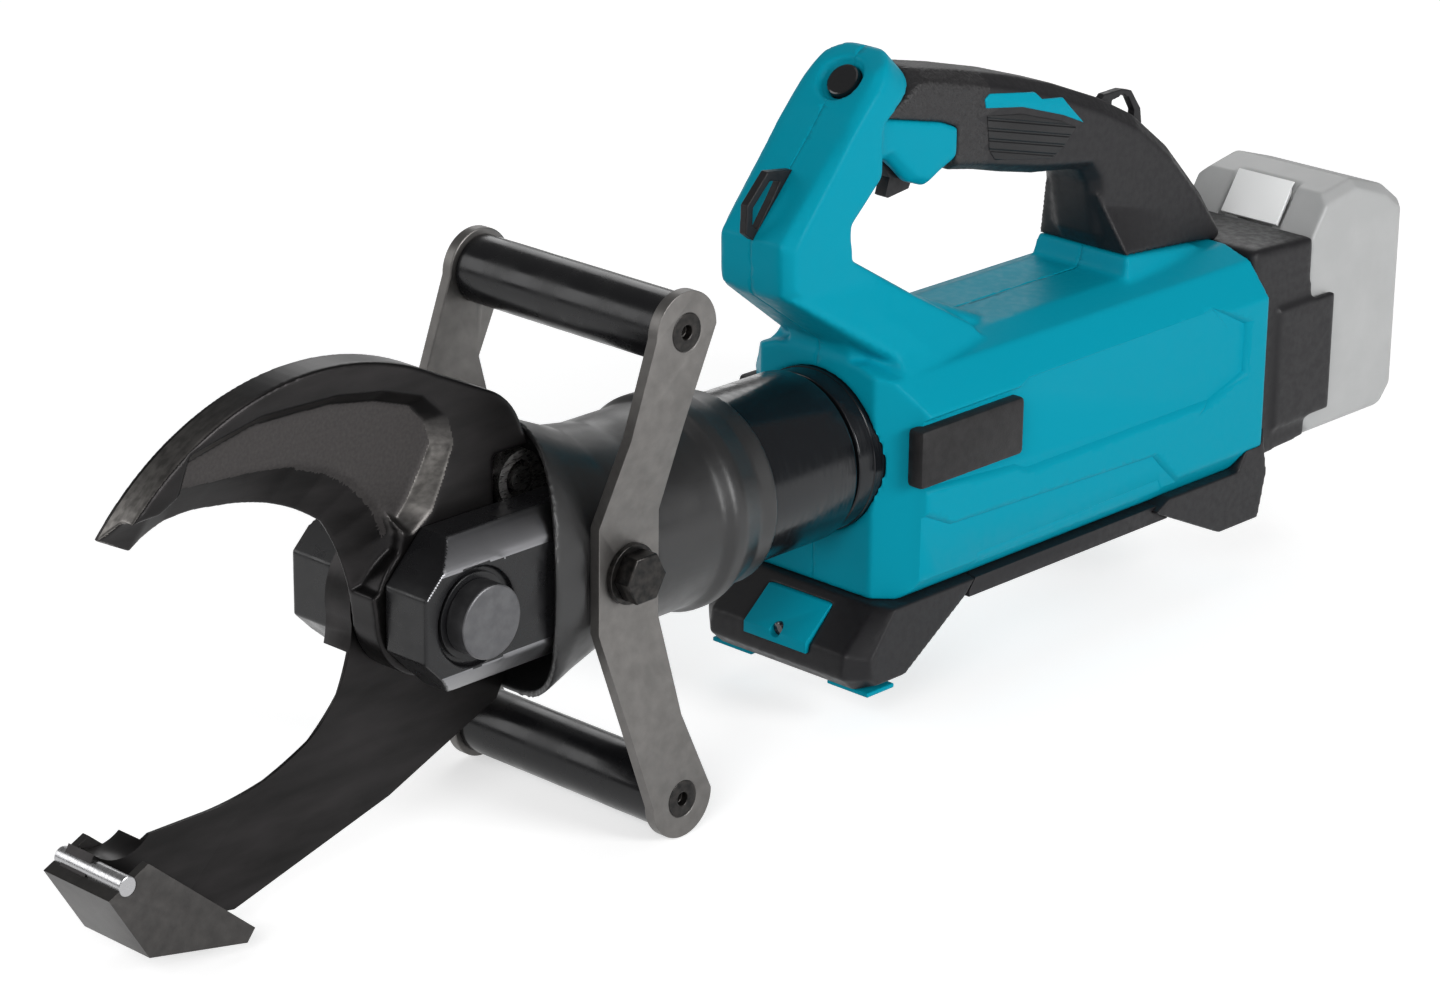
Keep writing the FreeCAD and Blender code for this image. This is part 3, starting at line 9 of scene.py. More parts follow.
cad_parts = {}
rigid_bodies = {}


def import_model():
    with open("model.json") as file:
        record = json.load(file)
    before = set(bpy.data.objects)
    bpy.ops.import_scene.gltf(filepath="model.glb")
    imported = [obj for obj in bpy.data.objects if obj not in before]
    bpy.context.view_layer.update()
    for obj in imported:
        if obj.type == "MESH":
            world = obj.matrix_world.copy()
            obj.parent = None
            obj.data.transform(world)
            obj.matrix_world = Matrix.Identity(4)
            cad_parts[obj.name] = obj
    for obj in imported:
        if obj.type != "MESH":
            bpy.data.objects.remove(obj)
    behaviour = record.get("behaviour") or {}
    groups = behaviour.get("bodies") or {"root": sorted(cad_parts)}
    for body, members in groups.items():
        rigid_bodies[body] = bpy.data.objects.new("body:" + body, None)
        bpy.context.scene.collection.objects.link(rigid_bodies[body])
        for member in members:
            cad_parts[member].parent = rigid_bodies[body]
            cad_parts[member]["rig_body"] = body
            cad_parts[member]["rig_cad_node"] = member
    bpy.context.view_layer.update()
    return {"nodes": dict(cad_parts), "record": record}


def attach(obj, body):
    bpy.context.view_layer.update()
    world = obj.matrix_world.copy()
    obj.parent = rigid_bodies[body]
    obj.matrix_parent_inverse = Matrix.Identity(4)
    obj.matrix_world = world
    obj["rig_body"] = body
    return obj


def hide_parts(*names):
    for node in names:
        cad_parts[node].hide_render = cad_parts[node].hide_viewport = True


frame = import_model()

# ---- View
# The camera stands ahead of the blades, to the right of the tool and above it.
# Lengths are metres. PIVOT is the blades' pivot, from which the tool is laid out.
PIVOT = Vector((0.2165, 0.0, 0.1145))
lens = bpy.data.cameras.new("view")
lens.lens = 112.43
lens.sensor_width = 36
lens.clip_end = 20
view = bpy.data.objects.new("view", lens)
bpy.context.scene.collection.objects.link(view)
right = Vector((-0.69011, 0.72361, 0.0116))
down = Vector((0.24548, 0.24914, -0.93684))
ahead = Vector((-0.68079, -0.64368, -0.34957))
turn = Matrix((right, -down, -ahead)).transposed().to_4x4()
view.matrix_world = Matrix.Translation(PIVOT + Vector((1.09126, 1.19631, 0.64172))) @ turn
bpy.context.scene.camera = view
bpy.context.scene.view_settings.view_transform = "Standard"

# ---- Studio
# A pale floor and a white surround with large soft lamps on three sides.
# The camera sees white all round; lamps, floor and a weak fill light the tool.
world = bpy.data.worlds.new("studio")
bpy.context.scene.world = world
world.use_nodes = True
air = world.node_tree
air.nodes.clear()
sky_out = air.nodes.new("ShaderNodeOutputWorld")
seen = air.nodes.new("ShaderNodeBackground")
seen.inputs["Color"].default_value = (1, 1, 1, 1)
seen.inputs["Strength"].default_value = 1.0
fill = air.nodes.new("ShaderNodeBackground")
fill.inputs["Color"].default_value = (1, 1, 1, 1)
fill.inputs["Strength"].default_value = 0.22
rays = air.nodes.new("ShaderNodeLightPath")
pick = air.nodes.new("ShaderNodeMixShader")
air.links.new(rays.outputs["Is Camera Ray"], pick.inputs[0])
air.links.new(fill.outputs[0], pick.inputs[1])
air.links.new(seen.outputs[0], pick.inputs[2])
air.links.new(pick.outputs[0], sky_out.inputs[0])

bpy.ops.mesh.primitive_plane_add(size=12, location=(0, 0, -0.0005))
floor = bpy.context.object
floor.name = "floor"
paper = bpy.data.materials.new("floor_paper")
paper.use_nodes = True
tree = paper.node_tree
tree.nodes.clear()
paper_out = tree.nodes.new("ShaderNodeOutputMaterial")
matt = tree.nodes.new("ShaderNodeBsdfDiffuse")
matt.inputs["Color"].default_value = (0.80, 0.80, 0.80, 1)
glow = tree.nodes.new("ShaderNodeEmission")
glow.inputs["Color"].default_value = (1, 1, 1, 1)
glow.inputs["Strength"].default_value = 0.55
both = tree.nodes.new("ShaderNodeAddShader")
rays = tree.nodes.new("ShaderNodeLightPath")
shown = tree.nodes.new("ShaderNodeMath")
shown.operation = "MAXIMUM"
pick = tree.nodes.new("ShaderNodeMixShader")
tree.links.new(matt.outputs[0], both.inputs[0])
tree.links.new(glow.outputs[0], both.inputs[1])
tree.links.new(rays.outputs["Is Camera Ray"], shown.inputs[0])
tree.links.new(rays.outputs["Is Glossy Ray"], shown.inputs[1])
tree.links.new(shown.outputs[0], pick.inputs[0])
tree.links.new(matt.outputs[0], pick.inputs[1])
tree.links.new(both.outputs[0], pick.inputs[2])
tree.links.new(pick.outputs[0], paper_out.inputs[0])
floor.data.materials.append(paper)

for title, place, aim, size, power in (
    ("lamp_front", (1.7, 1.0, 1.0), (0.0, 0.0, 0.15), 0.8, 16),
    ("lamp_side", (-0.4, 2.0, 0.75), (0.0, 0.0, 0.10), 0.9, 29),
    ("lamp_top", (-0.1, -0.2, 2.0), (0.0, 0.0, 0.10), 1.2, 3),
    ("lamp_back", (-1.5, -1.3, 1.2), (0.0, 0.0, 0.15), 1.2, 8),
    ("lamp_far", (1.4, -1.5, 0.9), (0.0, 0.0, 0.10), 1.0, 9),
):
    lamp = bpy.data.lights.new(title, "AREA")
    lamp.shape = "SQUARE"
    lamp.size = size
    lamp.energy = power
    holder = bpy.data.objects.new(title, lamp)
    holder.location = place
    holder.rotation_euler = (Vector(aim) - Vector(place)).to_track_quat("-Z", "Y").to_euler()
    bpy.context.scene.collection.objects.link(holder)

# ---- Teal housing
# Two moulded halves in fine-grained glass-filled nylon, screwed together along the middle.
# Their outer edges are rounded by the mould, and the seam between them stays open a hair.


def finish(title, colour, rough, metal=0.0, coat=0.0, sheen=0.5):
    """A new material whose shader is ready for a pattern."""
    stuff = bpy.data.materials.new(title)
    stuff.use_nodes = True
    shader = stuff.node_tree.nodes["Principled BSDF"]
    shader.inputs["Base Color"].default_value = (*colour, 1)
    shader.inputs["Roughness"].default_value = rough
    shader.inputs["Metallic"].default_value = metal
    shader.inputs["Coat Weight"].default_value = coat
    shader.inputs["Specular IOR Level"].default_value = sheen
    return stuff


def spread(stuff, scale, dark, light, low=0.35, high=0.65, socket="Base Color", detail=4.0,
           stretch=(1, 1, 1)):
    """Vary one of the shader's sockets between two values with clouds of the given scale."""
    tree = stuff.node_tree
    spot = tree.nodes.new("ShaderNodeTexCoord")
    lay = tree.nodes.new("ShaderNodeMapping")
    lay.inputs["Scale"].default_value = stretch
    cloud = tree.nodes.new("ShaderNodeTexNoise")
    cloud.inputs["Scale"].default_value = scale
    cloud.inputs["Detail"].default_value = detail
    ramp = tree.nodes.new("ShaderNodeValToRGB")
    ramp.color_ramp.elements[0].position = low
    ramp.color_ramp.elements[1].position = high
    ramp.color_ramp.elements[0].color = (*dark, 1)
    ramp.color_ramp.elements[1].color = (*light, 1)
    tree.links.new(spot.outputs["Object"], lay.inputs["Vector"])
    tree.links.new(lay.outputs["Vector"], cloud.inputs["Vector"])
    tree.links.new(cloud.outputs["Fac"], ramp.inputs["Fac"])
    tree.links.new(ramp.outputs["Color"], tree.nodes["Principled BSDF"].inputs[socket])


def grain(stuff, scale, depth, strength=0.5, stretch=(1, 1, 1)):
    """Give the surface a fine raised grain of the given scale and depth."""
    tree = stuff.node_tree
    spot = tree.nodes.new("ShaderNodeTexCoord")
    lay = tree.nodes.new("ShaderNodeMapping")
    lay.inputs["Scale"].default_value = stretch
    cloud = tree.nodes.new("ShaderNodeTexNoise")
    cloud.inputs["Scale"].default_value = scale
    cloud.inputs["Detail"].default_value = 3
    lift = tree.nodes.new("ShaderNodeBump")
    lift.inputs["Strength"].default_value = strength
    lift.inputs["Distance"].default_value = depth
    tree.links.new(spot.outputs["Object"], lay.inputs["Vector"])
    tree.links.new(lay.outputs["Vector"], cloud.inputs["Vector"])
    tree.links.new(cloud.outputs["Fac"], lift.inputs["Height"])
    tree.links.new(lift.outputs["Normal"], tree.nodes["Principled BSDF"].inputs["Normal"])


def at(x, y, z):
    """A place in millimetres from the blades' pivot, as a point in the tool's frame."""
    return Vector((x / 1000 + PIVOT.x, y / 1000, z / 1000 + PIVOT.z))


def copied(node, title):
    """A free copy of a CAD node's shape with its doubled corners merged."""
    bpy.ops.object.select_all(action="DESELECT")
    piece = frame["nodes"][node].copy()
    piece.data = piece.data.copy()
    piece.name = title
    piece.parent = None
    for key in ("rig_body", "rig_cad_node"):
        if key in piece:
            del piece[key]
    bpy.context.scene.collection.objects.link(piece)
    piece.select_set(True)
    bpy.context.view_layer.objects.active = piece
    bpy.ops.object.mode_set(mode="EDIT")
    bpy.ops.mesh.select_all(action="SELECT")
    bpy.ops.mesh.remove_doubles(threshold=0.000002)
    bpy.ops.mesh.dissolve_limited(angle_limit=math.radians(0.6))
    bpy.ops.object.mode_set(mode="OBJECT")
    return piece


def standing_for(piece, node, body, slot, *stuff):
    """Let a piece stand in for a CAD node, with its finishes."""
    piece.data.materials.clear()
    for finish_used in stuff:
        piece.data.materials.append(finish_used)
    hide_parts(node)
    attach(piece, body)
    return piece


def moulded(piece, cell, passes, share, soft=None, soft_passes=0):
    """Give a piece one even skin and round its edges the way a mould or a die leaves them.

    cell is the skin's fineness in millimetres, passes how often it is eased, and share the part
    of its faces kept. Corners for which soft is true are eased soft_passes more times.
    """
    bpy.ops.object.select_all(action="DESELECT")
    piece.select_set(True)
    bpy.context.view_layer.objects.active = piece
    skin = piece.modifiers.new("skin", "REMESH")
    skin.mode = "VOXEL"
    skin.voxel_size = cell / 1000
    skin.use_smooth_shade = True
    bpy.ops.object.modifier_apply(modifier="skin")
    if soft:
        chosen = piece.vertex_groups.new(name="soft")
        chosen.add([corner.index for corner in piece.data.vertices if soft(corner.co)], 1.0, "REPLACE")
    for rounds, group in ((passes, ""), (soft_passes, "soft")):
        if rounds:
            ease = piece.modifiers.new("ease", "SMOOTH")
            ease.factor = 0.5
            ease.iterations = rounds
            ease.vertex_group = group
            bpy.ops.object.modifier_apply(modifier="ease")
    thin = piece.modifiers.new("thin", "DECIMATE")
    thin.ratio = share
    bpy.ops.object.modifier_apply(modifier="thin")
    piece.vertex_groups.clear()
    even = piece.modifiers.new("even", "WEIGHTED_NORMAL")
    even.weight = 80
    bpy.ops.object.modifier_apply(modifier="even")
    return piece


def widened(outline, by):
    """The outline with every side moved outward by the same number of millimetres."""
    before, after = outline[-1:] + outline[:-1], outline[1:] + outline[:1]
    around = sum(x * end_z - end_x * z for (x, z), (end_x, end_z) in zip(outline, after))
    way = 1 if around > 0 else -1
    corners = []
    for last, spot, coming in zip(before, outline, after):
        first = (Vector(spot) - Vector(last)).normalized()
        second = (Vector(coming) - Vector(spot)).normalized()
        first, second = Vector((first.y, -first.x)) * way, Vector((second.y, -second.x)) * way
        corners.append(tuple(Vector(spot) + (first + second) * by / (1 + first.dot(second))))
    return corners


def plate(title, outline, low, high, edge=0.0, flare=0.0):
    """A flat piece cut to an outline of (x, z) corners, between two distances across the tool.

    Its far face is wider all round by flare millimetres.
    """
    bpy.ops.object.select_all(action="DESELECT")
    bpy.ops.mesh.primitive_circle_add(vertices=len(outline), fill_type="NGON")
    piece = bpy.context.object
    piece.name = title
    for corner, (x, z) in zip(piece.data.vertices, outline):
        corner.co = at(x, low, z)
    bpy.ops.object.mode_set(mode="EDIT")
    bpy.ops.mesh.select_all(action="SELECT")
    bpy.ops.mesh.extrude_region_move(TRANSFORM_OT_translate={"value": (0, (high - low) / 1000, 0)})
    bpy.ops.mesh.select_all(action="SELECT")
    bpy.ops.mesh.normals_make_consistent(inside=False)
    if flare:
        bpy.ops.object.mode_set(mode="OBJECT")
        moves = {at(x, high, z).freeze(): at(wide_x, high, wide_z)
                 for (x, z), (wide_x, wide_z) in zip(outline, widened(outline, flare))}
        for corner in piece.data.vertices:
            for start, goal in moves.items():
                if (corner.co - start).length < 1e-6:
                    corner.co = goal
                    break
        bpy.ops.object.mode_set(mode="EDIT")
        bpy.ops.mesh.select_all(action="SELECT")
    if edge:
        bpy.ops.mesh.bevel(offset=edge / 1000, segments=2, affect="EDGES", clamp_overlap=True)
    bpy.ops.object.mode_set(mode="OBJECT")
    bpy.ops.object.shade_smooth_by_angle(angle=math.radians(35))
    return piece


def carve(piece, *tools):
    """Cut the tools' shapes out of a piece."""
    for tool in tools:
        bpy.ops.object.select_all(action="DESELECT")
        piece.select_set(True)
        bpy.context.view_layer.objects.active = piece
        taken = piece.modifiers.new("taken", "BOOLEAN")
        taken.operation = "DIFFERENCE"
        taken.solver = "EXACT"
        taken.object = tool
        bpy.ops.object.modifier_apply(modifier="taken")
        bpy.data.objects.remove(tool)
    bpy.ops.object.shade_smooth_by_angle(angle=math.radians(28))


teal = finish("teal_nylon", (0.001, 0.280, 0.388), 0.42, sheen=0.05)
spread(teal, 260, (0.34, 0.34, 0.34), (0.48, 0.48, 0.48), socket="Roughness")
grain(teal, 2600, 0.00010, 0.22)
# Relief on both sides: the badge field, the notch behind it, the field under the belt and
# the two-step channel above the rail. Each has its outline and how deep it is sunk, in mm,
# below the body's side faces. The walls of each lean out by slant.
side_face = 50
slant = 0.8
side_relief = (
    ([(-230, -8.5), (-306, -14), (-314, -17.5), (-442, -17.5), (-455, -6), (-455, 13), (-441, 24), (-313, 23),
      (-308, 20), (-230, 19.5)], 2.4),
    ([(-441, 25), (-465, 12.5), (-465, -10), (-440, -18), (-454, -5), (-454, 12)], 2.6),
    ([(-226, -23), (-249, -23), (-265, -30.5), (-402, -35), (-407, -40), (-421, -53), (-421, -64),
      (-226, -64)], 2.3),
    ([(-277, -64), (-284, -48.5), (-407, -47.5), (-415, -64)], 2.6),
)
shell = copied("housing_left", "shell_left")
copied("housing_right", "shell_right")
shell.select_set(True)
bpy.context.view_layer.objects.active = shell
bpy.ops.object.join()
# The arm's top is a half round about the button's axis, wide as the arm. Its radius and the
# room around the cutter are in mm, the cutter's start and run along the axis in metres.
dome_radius = 20.6
dome_room = 40
dome_back, dome_run = 0.024, 0.070
button_top = at(-245, 0, 157)
button_axis, button_up = Vector((0.724, 0, 0.690)), Vector((-0.690, 0, 0.724))
crown = [(math.cos(math.radians(turn)) * dome_radius, math.sin(math.radians(turn)) * dome_radius)
         for turn in range(0, 181, 6)]
crown += [(-dome_room, 0), (-dome_room, dome_room), (dome_room, dome_room), (dome_room, 0)]
bpy.ops.object.select_all(action="DESELECT")
bpy.ops.mesh.primitive_circle_add(vertices=len(crown), fill_type="NGON")
cap = bpy.context.object
for corner, (across, up) in zip(cap.data.vertices, crown):
    corner.co = button_top - button_axis * dome_back + Vector((0, across / 1000, 0)) + button_up * up / 1000
bpy.ops.object.mode_set(mode="EDIT")
bpy.ops.mesh.select_all(action="SELECT")
bpy.ops.mesh.extrude_region_move(TRANSFORM_OT_translate={"value": button_axis * dome_run})
bpy.ops.mesh.select_all(action="SELECT")
bpy.ops.mesh.normals_make_consistent(inside=False)
bpy.ops.object.mode_set(mode="OBJECT")
carve(shell, cap)
arm_foot = at(0, 0, 38).z
moulded(shell, cell=1.1, passes=4, share=0.42, soft=lambda spot: spot.z > arm_foot, soft_passes=12)
carve(shell, *(plate("relief", outline, side * (side_face - sunk), side * (side_face + 1),
                     flare=slant * (1 + sunk))
               for outline, sunk in side_relief for side in (-1, 1)))
# Half the open seam between the halves, in metres.
seam_half = 0.00006
other = shell.copy()
other.data = shell.data.copy()
other.name = "shell_right"
bpy.context.scene.collection.objects.link(other)
for half, side, name in ((shell, -1, "left"), (other, 1, "right")):
    bpy.ops.object.select_all(action="DESELECT")
    half.select_set(True)
    bpy.context.view_layer.objects.active = half
    bpy.ops.object.mode_set(mode="EDIT")
    bpy.ops.mesh.select_all(action="SELECT")
    bpy.ops.mesh.bisect(plane_co=(0, side * seam_half, 0), plane_no=(0, side, 0), use_fill=True,
                        clear_inner=True)
    bpy.ops.object.mode_set(mode="OBJECT")
    standing_for(half, "housing_" + name, "body", "shell_teal", teal)

# ---- Release button
# A black nylon button in the well at the top of the arm, pressed to free the blades.
# It is polished, with its edges broken.


def rounded(node, title, body, slot, *stuff, edge):
    """Stand in for a CAD node with its own shape, its edges broken by edge millimetres."""
    piece = copied(node, title)
    sharp = math.radians(25)
    mesh = bmesh.new()
    mesh.from_mesh(piece.data)
    weight = mesh.edges.layers.float.new("bevel_weight_edge")
    for line in mesh.edges:
        line[weight] = float(len(line.link_faces) == 2 and line.calc_face_angle(0) > sharp)
    mesh.to_mesh(piece.data)
    mesh.free()
    soften = piece.modifiers.new("edge", "BEVEL")
    soften.width = edge / 1000
    soften.segments = 3 if edge > 1.5 else 2
    soften.limit_method = "WEIGHT"
    bpy.ops.object.modifier_apply(modifier="edge")
    bpy.ops.object.shade_smooth_by_angle(angle=sharp)
    return standing_for(piece, node, body, slot, *stuff)


black_gloss = finish("black_gloss", (0.010, 0.010, 0.011), 0.16)
spread(black_gloss, 340, (0.12, 0.12, 0.12), (0.22, 0.22, 0.22), socket="Roughness")
rounded("release_button", "thumb_button", "button", "button_plastic", black_gloss, edge=0.9)

# ---- Handle grip
# The back of the D-handle, black nylon with a soft skin moulded over it where the palm lies.
# The skin has a leather-like grain; a teal inlay and a ribbed pad sit in both flanks.
black = finish("black_nylon", (0.010, 0.0095, 0.011), 0.46, sheen=0.28)
spread(black, 300, (0.40, 0.40, 0.40), (0.54, 0.54, 0.54), socket="Roughness")
grain(black, 2300, 0.00014, 0.30)
skin = finish("grip_skin", (0.011, 0.010, 0.011), 0.52, sheen=0.4)
spread(skin, 420, (0.008, 0.007, 0.008), (0.016, 0.015, 0.016))
grain(skin, 560, 0.0008, 0.9)
palm = moulded(copied("handle_grip", "palm_grip"), cell=0.9, passes=16, share=0.6)
standing_for(palm, "handle_grip", "body", "black_plastic", black, skin)
skin_back = at(-319, 0, 0).x
for face in palm.data.polygons:
    if face.center.x > skin_back:
        face.material_index = 1
ribs = finish("ribbed_rubber", (0.010, 0.010, 0.011), 0.5, sheen=0.3)
tree = ribs.node_tree
spot = tree.nodes.new("ShaderNodeTexCoord")
lay = tree.nodes.new("ShaderNodeMapping")
lay.inputs["Rotation"].default_value = (0, math.radians(14), 0)
wave = tree.nodes.new("ShaderNodeTexWave")
wave.bands_direction = "Z"
wave.inputs["Scale"].default_value = 72
ramp = tree.nodes.new("ShaderNodeValToRGB")
ramp.color_ramp.elements[0].position = 0.02
ramp.color_ramp.elements[1].position = 0.30
lift = tree.nodes.new("ShaderNodeBump")
lift.inputs["Strength"].default_value = 0.9
lift.inputs["Distance"].default_value = 0.0008
tree.links.new(spot.outputs["Object"], lay.inputs["Vector"])
tree.links.new(lay.outputs["Vector"], wave.inputs["Vector"])
tree.links.new(wave.outputs["Fac"], ramp.inputs["Fac"])
tree.links.new(ramp.outputs["Color"], lift.inputs["Height"])
tree.links.new(lift.outputs["Normal"], tree.nodes["Principled BSDF"].inputs["Normal"])


def fixed(piece, stuff, body):
    """Give a new piece its finish and let it ride on its body."""
    piece.data.materials.clear()
    piece.data.materials.append(stuff)
    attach(piece, body)


inlay_outline = [(-315, 139), (-318, 141), (-348, 136), (-353, 132), (-367, 130), (-371, 126), (-382, 116),
                 (-368, 122), (-340, 131), (-316, 135)]
rib_outline = [(-317, 131.5), (-319, 116), (-323, 111), (-360, 104), (-368, 107), (-377, 115), (-366, 120),
               (-340, 128)]
for side, name in ((-1, "left"), (1, "right")):
    fixed(plate("inlay_" + name, inlay_outline, side * 15, side * 17.5, 0.4), teal, "body")
    fixed(plate("ribbed_pad_" + name, rib_outline, side * 15, side * 17.4, 0.5), ribs, "body")

# ---- Trigger and lock tab
# A wide black nylon trigger hinged at its back, with the lock tab through its middle.
# The tab has to be pressed before the trigger moves.
rounded("trigger", "trigger_paddle", "trigger_lever", "black_plastic", black, edge=1.2)
rounded("trigger_lock", "lock_tab_paddle", "lock_tab", "black_plastic", black, edge=0.6)

# ---- Strap eyes
# Two black nylon eyes for the carrying strap, one on the arm and one behind the grip.
# Both are thin moulded plates with a large hole and rounded rims.
eye_holes = {
    "front_strap_eye": [(-192, 104.5), (-189.3, 107), (-189.6, 114.4), (-199.4, 123.8), (-205.5, 122.6),
                        (-200.5, 115.5)],
    "rear_strap_eye": [(-420, 106), (-420.5, 115.5), (-427, 116.2), (-432, 115), (-436.5, 108), (-436, 102)],
}
# Half the eyes' thickness, and the room cut free beside them, in mm.
eye_half, eye_room = 1.9, 8
around_eyes = [(-170, 80), (-170, 140), (-460, 140), (-460, 80)]
for node, outline in eye_holes.items():
    eye = copied(node, node + "_plate")
    carve(eye, plate("eye_hole", outline, -eye_room, eye_room))
    for side in (-1, 1):
        carve(eye, plate("eye_side", around_eyes, side * eye_half, side * eye_room))
    moulded(eye, cell=0.35, passes=2, share=0.5)
    standing_for(eye, node, "body", "black_plastic", black)

# ---- Side pads
# Black rubber buffers pressed into a pocket on each flank, just behind the front corner.
# Their faces are nearly flat with generous round corners.
buffer = finish("buffer_rubber", (0.013, 0.012, 0.013), 0.55, sheen=0.25)
spread(buffer, 240, (0.010, 0.0095, 0.010), (0.017, 0.016, 0.017))
grain(buffer, 1500, 0.0002, 0.35)
for side, name in ((-1, "left"), (1, "right")):
    pad = plate("buffer_" + name, [(-240, -8), (-306, -8), (-306, 18), (-240, 18)], side * 44, side * 53, 2.2)
    fixed(pad, buffer, "body")
    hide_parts("side_pad_" + name)

# ---- Feet and rails
# Black nylon feet front and rear, joined under the body by two rails.
# Small teal rubber pads under each foot stand on the ground.
for node, title in (("front_foot", "toe_block"), ("rear_foot", "heel_block")):
    foot = moulded(copied(node, title), cell=1.0, passes=7, share=0.5)
    standing_for(foot, node, "body", "black_plastic", black)
rounded("base_rails", "under_rails", "body", "black_plastic", black, edge=1.0)
rounded("foot_pads", "ground_pads", "body", "trim_teal", teal, edge=0.5)

# ---- Work lamp
# A teal cover set into the front foot, with a clear lens over a single light.
# The lens is bevelled and looks nearly black while it is off.
rounded("lamp_cover", "lamp_bezel", "body", "shell_teal", teal, edge=1.6)
lens_glass = finish("lamp_glass", (0.02, 0.02, 0.03), 0.06, coat=0.6)
spread(lens_glass, 900, (0.010, 0.010, 0.014), (0.08, 0.08, 0.10), 0.5, 0.7)
rounded("lamp_lens", "lamp_window", "body", "lens", lens_glass, edge=0.7)

# ---- Hydraulic cylinder and collar
# A turned steel tube, blacked and polished, held in the body by a turned collar.
# Faint rings are left by the lathe, and a black sealing ring shows beside the collar.
tube_black = finish("polished_black", (0.008, 0.009, 0.011), 0.17, 0.2, sheen=0.35)
spread(tube_black, 90, (0.13, 0.13, 0.13), (0.26, 0.26, 0.26), socket="Roughness", stretch=(8, 1, 1))
grain(tube_black, 400, 0.00008, 0.15, stretch=(6, 0.4, 0.4))
rounded("cylinder_tube", "cylinder_barrel", "body", "cylinder_alloy", tube_black, edge=0.6)
rounded("cylinder_collar", "barrel_collar", "body", "collar_black", tube_black, edge=1.0)


def hoop(title, x, inner, outer, width, stuff):
    """A turned ring around the cylinder's axis, spun from a small bevelled section."""
    bpy.ops.object.select_all(action="DESELECT")
    bpy.ops.mesh.primitive_circle_add(vertices=8)
    piece = bpy.context.object
    piece.name = title
    half, mid, tall = width / 2, (inner + outer) / 2, (outer - inner) / 2
    corner = min(half, tall) * 0.4
    section = [(half, tall - corner), (half - corner, tall), (corner - half, tall), (-half, tall - corner),
               (-half, corner - tall), (corner - half, -tall), (half - corner, -tall), (half, corner - tall)]
    for point, (along, out) in zip(piece.data.vertices, section):
        point.co = at(x + along, 0, mid + out)
    bpy.ops.object.mode_set(mode="EDIT")
    bpy.ops.mesh.select_all(action="SELECT")
    bpy.ops.mesh.spin(steps=96, angle=math.tau, center=at(x, 0, 0), axis=(1, 0, 0))
    bpy.ops.mesh.select_all(action="SELECT")
    bpy.ops.mesh.remove_doubles(threshold=0.00001)
    bpy.ops.mesh.normals_make_consistent(inside=False)
    bpy.ops.object.mode_set(mode="OBJECT")
    bpy.ops.object.shade_smooth_by_angle(angle=math.radians(40))
    fixed(piece, stuff, "body")


hoop("collar_seal", -230.5, 33.0, 35.9, 1.6, tube_black)
for n, x in enumerate((-217.0, -213.5)):
    hoop(f"barrel_bead_{n}", x, 33.0, 35.75, 1.2, tube_black)

# ---- Rubber boot
# A moulded rubber sleeve over the fork's neck that keeps grit off the links.
# It is smooth and slightly shiny, with a thicker rim at its front.
boot_rubber = finish("boot_rubber", (0.013, 0.013, 0.0135), 0.36)
spread(boot_rubber, 45, (0.30, 0.30, 0.30), (0.46, 0.46, 0.46), socket="Roughness")
grain(boot_rubber, 1300, 0.0001, 0.2)
sleeve = moulded(copied("rubber_boot", "link_boot"), cell=1.0, passes=5, share=0.5)
standing_for(sleeve, "rubber_boot", "body", "boot_rubber", boot_rubber)

# ---- Fork head and pivot
# A forged and milled steel fork, blacked, holding both blades on one large pin.
# The corners left from turning are rounder than the milled faces; the brighter metal on their outward faces
# is a painted highlight.
# The pin's ends are turned with a wide chamfer and held by rings let into grooves.
oxide = finish("black_oxide", (0.010, 0.010, 0.011), 0.26, sheen=0.3)
spread(oxide, 120, (0.22, 0.22, 0.22), (0.38, 0.38, 0.38), socket="Roughness")
grain(oxide, 1500, 0.00003, 0.10)
# A brighter metal for the turned corners' outward faces: a painted highlight on the dark blacked steel.
turned_highlight_steel = finish("turned_highlight_steel", (0.24, 0.24, 0.25), 0.30, 1.0)
spread(turned_highlight_steel, 500, (0.29, 0.29, 0.29), (0.32, 0.32, 0.32), socket="Roughness", stretch=(4, 0.1, 0.1))
pin_room = 0.0245
fork = moulded(copied("fork_head", "fork_forging"), cell=0.8, passes=1, share=0.45, soft_passes=45,
               soft=lambda spot: (abs(spot.y) > 0.026 and -0.085 < spot.x - PIVOT.x < 0.008
                                  and math.hypot(spot.x - PIVOT.x, spot.z - PIVOT.z) > pin_room))
standing_for(fork, "fork_head", "body", "fork_steel", oxide, turned_highlight_steel)
# Outward faces of the turned corners get the brighter metal, a painted highlight.
for face in fork.data.polygons:
    out = face.center - PIVOT
    out.x = 0
    lit_turned = abs(face.normal.x) < 0.2 and abs(face.normal.z) > 0.12
    if lit_turned and abs(out.y) > 0.027 and face.normal.dot(out) > 0.036:
        face.material_index = 1
pin_grey = finish("pin_grey", (0.13, 0.13, 0.13), 0.42, 0.9)
spread(pin_grey, 200, (0.10, 0.10, 0.105), (0.125, 0.125, 0.13), detail=6)
rounded("pivot_pin", "pivot_plug", "body", "pin_steel", pin_grey, edge=1.2)
rounded("pin_rings", "pivot_rings", "body", "drive_steel", oxide, edge=0.2)

